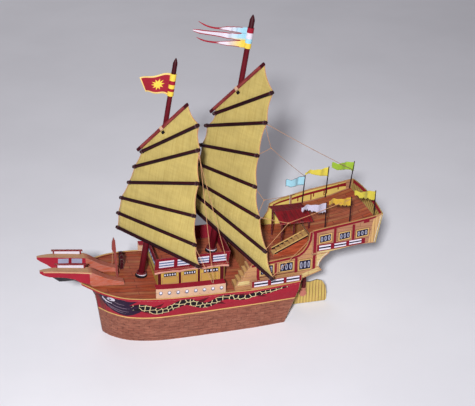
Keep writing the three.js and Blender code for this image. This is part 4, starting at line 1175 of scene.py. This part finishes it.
def add_sail(word, sail):
    placement = mast_frame(sail["mast"], sail["swing"])
    grid = cloth_grid(sail)
    edges = together(tube([mm(*row[end]) for row in grid], BOLT_ROPE_R * MM, 6) for end in (0, -1))
    rope = make(f"{word}_bolt_rope", edges, THREAD, "sail_cloth", word, placement, True)
    add_sheet(f"{word}_mat", [grid], CLOTH_THICK, SAIL, placement, word, f"{word}_cloth", "sail_cloth")
    for i, (u0, v0, u1, v1) in enumerate(sail["rows"][:-1]):
        node = f"{word}_batten_{i}" if i else f"{word}_boom"
        start, end = (placement @ mm(u, v, BATTEN_FACE) for u, v in ((u0, v0), (u1, v1)))
        batten = stick(f"{node}_stick", start, end, (BATTEN_R, BATTEN_R), BATTEN_WOOD, word, "batten_wood")
        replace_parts(batten, node)
    add_yard(word, sail, placement)
    add_lashings(word, sail, placement)


def add_yard(word, sail, placement):
    """A flat yard with rounded edges and dark ends, and a white loop with a dark bead at the mast."""
    u0, v0, u1, v1 = sail["rows"][-1]
    along = run(u0, v0, u1, v1)
    across = UP.cross(along)
    centre = mm(0, v0 - (v1 - v0) * u0 / (u1 - u0), YARD_FACE)
    bead = centre - across * 3.6 * 1.2 * MM - along * MM
    for suffix, at, width, colour, scale, slot in (("loop", centre, 4.0, "cream", 1.0, "flag_white"),
                                                   ("bead", bead, 3.2, "black", 0.75, "batten_wood")):
        points = []
        for shift, grow in ((-0.5, 0.9), (-0.25, 1.0), (0.25, 1.0), (0.5, 0.9)):
            spot = at + along * width * shift * MM
            points += [spot + (across * a * scale + UP * b) * grow * MM for a, b in LOOP_SECTION]
        make(f"{word}_yard_{suffix}", (points, ring_faces(4, 4)), colour, slot, word, placement)
    reach = YARD_PAST / math.hypot(u1 - u0, v1 - v0)
    u0, v0 = u0 - (u1 - u0) * reach, v0 - (v1 - v0) * reach
    length = math.hypot(u1 - u0, v1 - v0)
    stops = ((0, 0.8), (0.6, 1), (length * 0.3, 1), (length * 0.6, 1), (length - 0.6, 1), (length, 0.8))
    points = [mm(a * scale, b * scale, at) for at, scale in stops for a, b in YARD_SECTION]
    grain = wood(f"{word}_yard_wood", "yard", "mast", (0.4, 0.6), (0.007, (length - 7) * MM))
    turn = Matrix((across, UP, along)).transposed().to_4x4()
    place = placement @ Matrix.Translation(mm(u0, v0, YARD_FACE)) @ turn
    shape = (points, ring_faces(len(stops), len(YARD_SECTION)))
    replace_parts(make(f"{word}_yard_bar", shape, grain, "mast_wood", word, place), f"{word}_yard")


def wrap(centre, axis):
    """A thread wound round a stick."""
    first = axis.orthogonal().normalized()
    second = axis.cross(first)
    path = []
    count = LASH_TURNS * LASH_STEPS
    for k in range(count + 1):
        turn = 2 * math.pi * k / LASH_STEPS
        around = first * math.cos(turn) + second * math.sin(turn)
        path.append(centre + around * LASH_RADIUS * MM + axis * LASH_WIDTH * MM * (k / count - 0.5))
    return tube(path, LASH_THREAD_R * MM, 5)


def add_lashings(word, sail, placement):
    """Thread lashings at both ends of each batten."""
    wraps = []
    for u0, v0, u1, v1 in sail["rows"][:-1]:
        along = run(u0, v0, u1, v1)
        for u, v, back in ((u0, v0, LASH_BACK), (u1, v1, -LASH_BACK)):
            wraps.append(wrap(mm(u, v, BATTEN_FACE) + along * back * MM, along))
    make(f"{word}_lashings", together(wraps), DARK_THREAD, "sail_cloth", word, placement, True)


# Flags
STERN_FLAGS = [
    # name, side, foot x, top x, top z, length, height, droop, taper, tears, ink, border, slot
    ("port_fore", 1, -136.6, -137.4, 145.6, 28, 12.8, -3, 0.6, 3.0, "flag_white", None, "flag_white"),
    ("port_mid", 1, -163.4, -164, 149.6, 25, 11.4, -3, 0.5, 2.6, "flag_orange", None, "flag_orange"),
    ("port_aft", 1, -190, -190, 154.7, 23, 12, -5, 0.5, 2.2, "flag_lemon", None, "flag_yellow"),
    ("starboard_fore", -1, -137.6, -139.8, 140.6, 22, 11, 2, 0.25, 0.3, "flag_blue", "navy", "flag_blue"),
    ("starboard_mid", -1, -165.1, -167.6, 147.6, 28, 11.4, -2, 0.8, 0.5, "flag_straw", None, "flag_yellow"),
    ("starboard_aft", -1, -194, -198, 150.4, 26, 10.8, -2.5, 0.3, 1.0, "flag_green", None, "flag_green")]
SIDE_ON = Matrix(((1, 0, 0, 0), (0, 0, -1, 0), (0, 1, 0, 0), (0, 0, 0, 1)))
FLAG_STEPS, FLAG_ROWS = 32, 8
POLE_INSET = 2


def flag_grid(x0, z0, length, height, droop, taper, tears, seed):
    """A rippling flag from the top of its pole forwards, as points (x, z, y) in millimetres."""
    chance = random.Random(seed)
    phase = chance.uniform(0, 6)
    torn = [chance.uniform(0, tears) for _ in range(FLAG_STEPS + 1)]
    grid = []
    for s in even(FLAG_ROWS):
        line = []
        for t, tear in zip(even(FLAG_STEPS), torn):
            wave = math.sin(t * 3.1 * math.pi + phase)
            flutter = 0.5 * math.sin(t * 7.3 * math.pi + phase + s * 2)
            z = z0 - height / 2 - (0.5 - s) * height * (1 - taper * t) - droop * t
            z += 0.75 * t * math.sin(t * 5.2 * math.pi + phase) + 0.25 * flutter * t + tear * (1 - s) ** 4
            y = (1.6 * wave + 0.35 * flutter) * min(1, t * 3) + 0.3 * (s - 0.5) * wave
            line.append((x0 + length * t, z, y))
        grid.append(line)
    return grid


def add_stern_flags():
    for name, side, foot_x, top_x, top_z, *shape, colour, border, slot in STERN_FLAGS:
        y = side * (half_at(foot_x, POOP_PLAN) - POLE_INSET)
        foot = mm(foot_x, y, between(*POOP_DECK, 1 - foot_x) + 0.3)
        pole = stick(f"stern_pole_{name}", foot, mm(top_x, y, top_z), (0.7, 0.55), BATTEN_WOOD)
        node = f"stern_flag_{name}"
        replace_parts(pole, node)
        grid = flag_grid(top_x, top_z - 1, *shape, name)
        material = flag_material(f"paper_{name}", colour, border, 0.05)
        add_sheet(f"stern_flag_paper_{name}", [grid], PAPER_THICK, material,
                  Matrix.Translation(mm(0, y, 0)) @ SIDE_ON, "root", node, slot)


def add_sleeve(word, rows):
    """Bands of coloured paper rolled round the mast head, from rows of low, high and ink."""
    base, head = MASTS[word]["radii"]
    upright = aimed(*(mast_frame(word) @ mm(0, v, 0) for v in (0, 10)))
    for i, (low, high, colour) in enumerate(rows):
        outer = base + (head - base) * low / MASTS[word]["length"] + SLEEVE_OUT
        profile = [(outer, low), (outer + 0.05, low + 0.3), (outer - 0.02, high - 0.3), (outer - 0.05, high)]
        make(f"{word}_sleeve_{i}", turned(profile), colour, "flag_white", placement=upright)


FORE_FLAG_LOW = ((-2.2, 203), (-14, 205.6), (-25.5, 204.4))
FORE_FLAG_HIGH = ((-2.2, 226), (-17, 224.2), (-33.6, 218.6))
SUN_MIDDLE = (0.44, 0.5)


def fore_flag_point(u, w):
    """The foremast flag's surface: u from the mast outwards, w from low to high, in the mast's frame."""
    (x0, y0), (x1, y1) = ([a * (1 - u) ** 2 + 2 * b * u * (1 - u) + c * u * u for a, b, c in zip(*line)]
                          for line in (FORE_FLAG_LOW, FORE_FLAG_HIGH))
    wave = 1.1 * math.sin(u * 2.4 * math.pi) * u ** 0.5
    return x0 + (x1 - x0) * w, y0 + (y1 - y0) * w + 1.1 * math.sin(u * 2.6 * math.pi), wave


def add_fore_flag():
    """A red flag with a pale border and a sun, which is a plate on both of its faces."""
    placement = mast_frame("foremast")
    add_sleeve("foremast", [(203.2, 208, "flag_yellow"), (208, 211, "flag_red"), (211, 215, "flag_yellow"),
                            (215, 219, "flag_red"), (219, 226, "flag_yellow")])
    star = [SUN_MIDDLE]
    for k, (a, b) in enumerate(circle(20)):
        reach = 0.15 if k % 2 else 0.3
        star.append((SUN_MIDDLE[0] + reach * 0.78 * a, SUN_MIDDLE[1] + reach * b))
    faces = []
    for side in (1, -1):
        tops, roots = ([mm(x, y, n + side * lift) for x, y, n in (fore_flag_point(*at) for at in star)]
                       for lift in (0.4, 0.14))
        faces.append(thickened(tops, roots, [(0, k, k % 20 + 1)[::side] for k in range(1, 21)]))
    sun = make("foremast_flag_sun", together(faces), "flag_yellow", "flag_yellow", placement=placement)
    grid = [[fore_flag_point(u, w) for u in even(24)] for w in even(14)]
    material = flag_material("paper_fore_flag", "flag_red", "border", 0.1)
    add_sheet("foremast_flag_paper", [grid], PAPER_THICK, material, placement, "root", "foremast_flag",
              "flag_red")


PENNANT_TAILS = [
    # root low, root high, tip x, middle line at four places to the tip, half-widths along it
    (226.2, 233.2, -53.5, (229.7, 229.4, 228.8, 232.9), (3.5, 3.5, 2.2, 0.9, 0.7, 0.25)),
    (233.1, 240.5, -58.0, (236.8, 236.9, 237.8, 239.6), (3.7, 3.7, 2.9, 2.4, 2.0, 0.9)),
    (240.4, 246.8, -53.5, (243.6, 243.9, 243.6, 248.4), (3.2, 3.2, 2.2, 0.9, 0.7, 0.25))]
TAIL_STOPS = (0, 0.12, 0.42, 0.58, 0.9, 1)
TAIL_ROOT = -2.1
TAIL_STEPS, TAIL_ROWS = 36, 6


def through(values, t):
    """A smooth curve through four values at equal steps from 0 to 1."""
    a, b, c, d = values
    u = 3 * t
    return (-a * (u - 1) * (u - 2) * (u - 3) / 6 + b * u * (u - 2) * (u - 3) / 2
            - c * u * (u - 1) * (u - 3) / 2 + d * u * (u - 1) * (u - 2) / 6)


def tail_grid(low, high, tip_x, middles, halves):
    """One tail of the pennant, which joins the others near the mast."""
    grid = []
    for s in even(TAIL_ROWS):
        line = []
        for t in even(TAIL_STEPS):
            half = between(TAIL_STOPS, halves, t)
            loose = min(1, max(0, t - TAIL_STOPS[1]) * 4)
            middle = through(middles, t) * loose + (low + high) / 2 * (1 - loose)
            wave = 1.5 * math.sin(t * 2.6 * math.pi + low * loose) * t ** 0.6
            line.append((TAIL_ROOT + (tip_x - TAIL_ROOT) * t, middle + (s - 0.5) * 2 * half, wave))
        grid.append(line)
    return grid


def add_pennant():
    add_sleeve("mainmast", [(226.2, 231.5, "flag_yellow"), (231.5, 236, "flag_blue"), (236, 242, "white"),
                            (242, 247, "flag_red")])
    add_sheet("pennant_paper", [tail_grid(*row) for row in PENNANT_TAILS], PAPER_THICK, pennant_material(),
              mast_frame("mainmast"), "root", "mainmast_pennant", "flag_white")


# Threads
THREADS = [
    # sail, batten rows, far end, place of the knot between them from 0 to 1
    ("foresail", (1,), (-12.5, 51.0, 72.6), None),
    ("foresail", (5,), (-13.5, 51.5, 72.6), None),
    ("foresail", (4,), (-34.0, 30.6, 80.5), None),
    ("mainsail", (5, 4), (-139.6, -39.4, 139.0), 0.22),
    ("mainsail", (5,), (-196.5, -42.0, 140.0), None),
    ("mainsail", (3, 2), (-128.5, -39.4, 118.4), 0.2),
    ("mainsail", (2, 1), (-163.9, 40.4, 147.0), 0.3),
    ("mainsail", (0,), (-120.2, 41.2, 104.8), None)]
SPAR_THREAD = (mm(80.9, -1.0, 110.4), mm(80.9, -19.6, 63.8))
KNOT = [(0.3, -1.0), (0.8, -0.5), (0.85, 0.3), (0.3, 1.0)]
SAG = 0.006
THREAD_R = 0.3


def strand(name, start, end, body=None):
    """A taut thread with a slight sag."""
    sag = UP * (end - start).length * SAG
    path = [start.lerp(end, t) - sag * math.sin(math.pi * t) for t in even(10)]
    return make(name, tube(path, THREAD_R * MM, 6), THREAD, "sail_cloth", body, smooth=True)


def leech_end(word, row):
    """Where a thread leaves a batten at the sail's leech."""
    sail = SAILS[word]
    ends = sail["rows"][row]
    end = mm(*ends[2:], BATTEN_FACE) - run(*ends) * LASH_BACK * MM
    return mast_frame(sail["mast"], sail["swing"]) @ end


def add_threads():
    """Threads from the sails to the hull. Two legs meet at a knot."""
    for i, (word, rows, end, share) in enumerate(THREADS):
        starts = [leech_end(word, row) for row in rows]
        middle, end = sum(starts, Vector()) / len(starts), mm(*end)
        if share is None:
            pieces = [strand(f"thread_{i}", middle, end)]
        else:
            knot = middle.lerp(end, share)
            pieces = [strand(f"thread_{i}_leg_{j}", start, knot) for j, start in enumerate(starts)]
            pieces.append(strand(f"thread_{i}_line", knot, end))
            bead = turned(KNOT, 10)
            pieces.append(make(f"thread_{i}_knot", bead, THREAD, "sail_cloth", None, aimed(knot, end), True))
        for piece in pieces:
            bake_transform(piece)
    strand("thread_spar", *SPAR_THREAD, "root")


# Finish of the CAD nodes that stay
def dress_nodes():
    door = PLANKS["door"]
    finish = {
        "hull": hull_material(), "main_deck": tray_material(), "deckhouse_walls": card("wall_yellow", True),
        "quarter_deck": DECK, "poop_deck": DECK, "deckhouse_balustrade": card("cap", True),
        "deckhouse_roof": deck_material("roof_deck_print", "eave"), "quarter_front": door, "poop_front": door,
        "quarter_steps": stair_material("step_card", "orange_tan", "salmon"),
        "poop_stairs": stair_material("stair_card", "deck", "deck_dark"),
        "stern_counter": PLANKS["yellow"], "poop_transom": PLANKS["transom"], "pavilion_roof": PLANKS["roof"],
        "pavilion_frame": card("maroon", True), "windlass": card("batten", True),
        "anchor_spar": card("spar", True), "rudder_blade": PLANKS["rudder"],
        "rudder_stock": split_card("rudder_stock_print", "timber", "maroon", 0.0215),
        "foremast_collar": split_card("foremast_collar_print", "white", "mast", 0.0646),
        "mainmast_collar": split_card("mainmast_collar_print", "white", "mast", 0.0852),
        "stern_post": split_card("stern_post_print", "salmon", "dark_crimson", 0.0335)}
    pairs = {
        "bow_wing": wing_material(), "bow_rail": rail_material(), "midship_bulwark": cream_material(),
        "quarter_side": PLANKS["salmon"], "poop_side": PLANKS["poop"]}
    finish.update({f"{node}_{side}": material for node, material in pairs.items() for side, _ in SIDES})
    for node, material in finish.items():
        slots = NODES[node].material_slots
        for entry in slots:
            entry.material = material
        if not slots:
            NODES[node].data.materials.append(material)


# Floor and light
FLOOR_REACH = 8.0
WORLD = ((0.8, 0.75, 0.81, 1), 0.22)


def add_floor():
    points = [(x * FLOOR_REACH, y * FLOOR_REACH, 0) for x, y in ((-1, -1), (1, -1), (1, 1), (-1, 1))]
    make("floor", (points, [(0, 1, 2, 3)]), floor_material(), body=None)


def add_light(name, at, aim, size, power, spread=180):
    data = bpy.data.lights.new(name, "AREA")
    data.size = size
    data.energy = power
    data.spread = math.radians(spread)
    lamp = bpy.data.objects.new(name, data)
    lamp.visible_camera = False
    facing = (Vector(aim) - Vector(at)).to_track_quat("-Z", "Y").to_matrix().to_4x4()
    lamp.matrix_world = Matrix.Translation(at) @ facing
    bpy.context.scene.collection.objects.link(lamp)


def light_scene():
    add_light("key", (0.55, 1.62, 1.1), (-0.05, 0, 0.08), 0.12, 8.4, 70)
    add_light("back", (0.3, -2.3, 1.5), (0, -0.2, 0.1), 1.6, 12)
    world = bpy.data.worlds.new("studio")
    world.use_nodes = True
    for socket, value in zip(world.node_tree.nodes["Background"].inputs, WORLD):
        socket.default_value = value
    bpy.context.scene.world = world
    bpy.context.scene.view_settings.view_transform = "Standard"


add_camera()
add_floor()
light_scene()
dress_nodes()
add_hull_trim()
for side_name, side_sign in SIDES:
    add_dragon(side_name)
    add_quarter_paint(side_name)
    add_poop_paint(side_name)
    add_house_paint(side_name)
    add_eaves(side_name)
    add_bow_paint(side_name)
    add_bulwark_paint(side_name, side_sign)
add_inner_walls()
add_wall_caps()
add_balustrade_ends()
add_transom_paint()
add_stair_strings()
for sail_name, sail_lines in SAILS.items():
    add_sail(sail_name, sail_lines)
add_masts()
add_stern_flags()
add_fore_flag()
add_pennant()
add_threads()
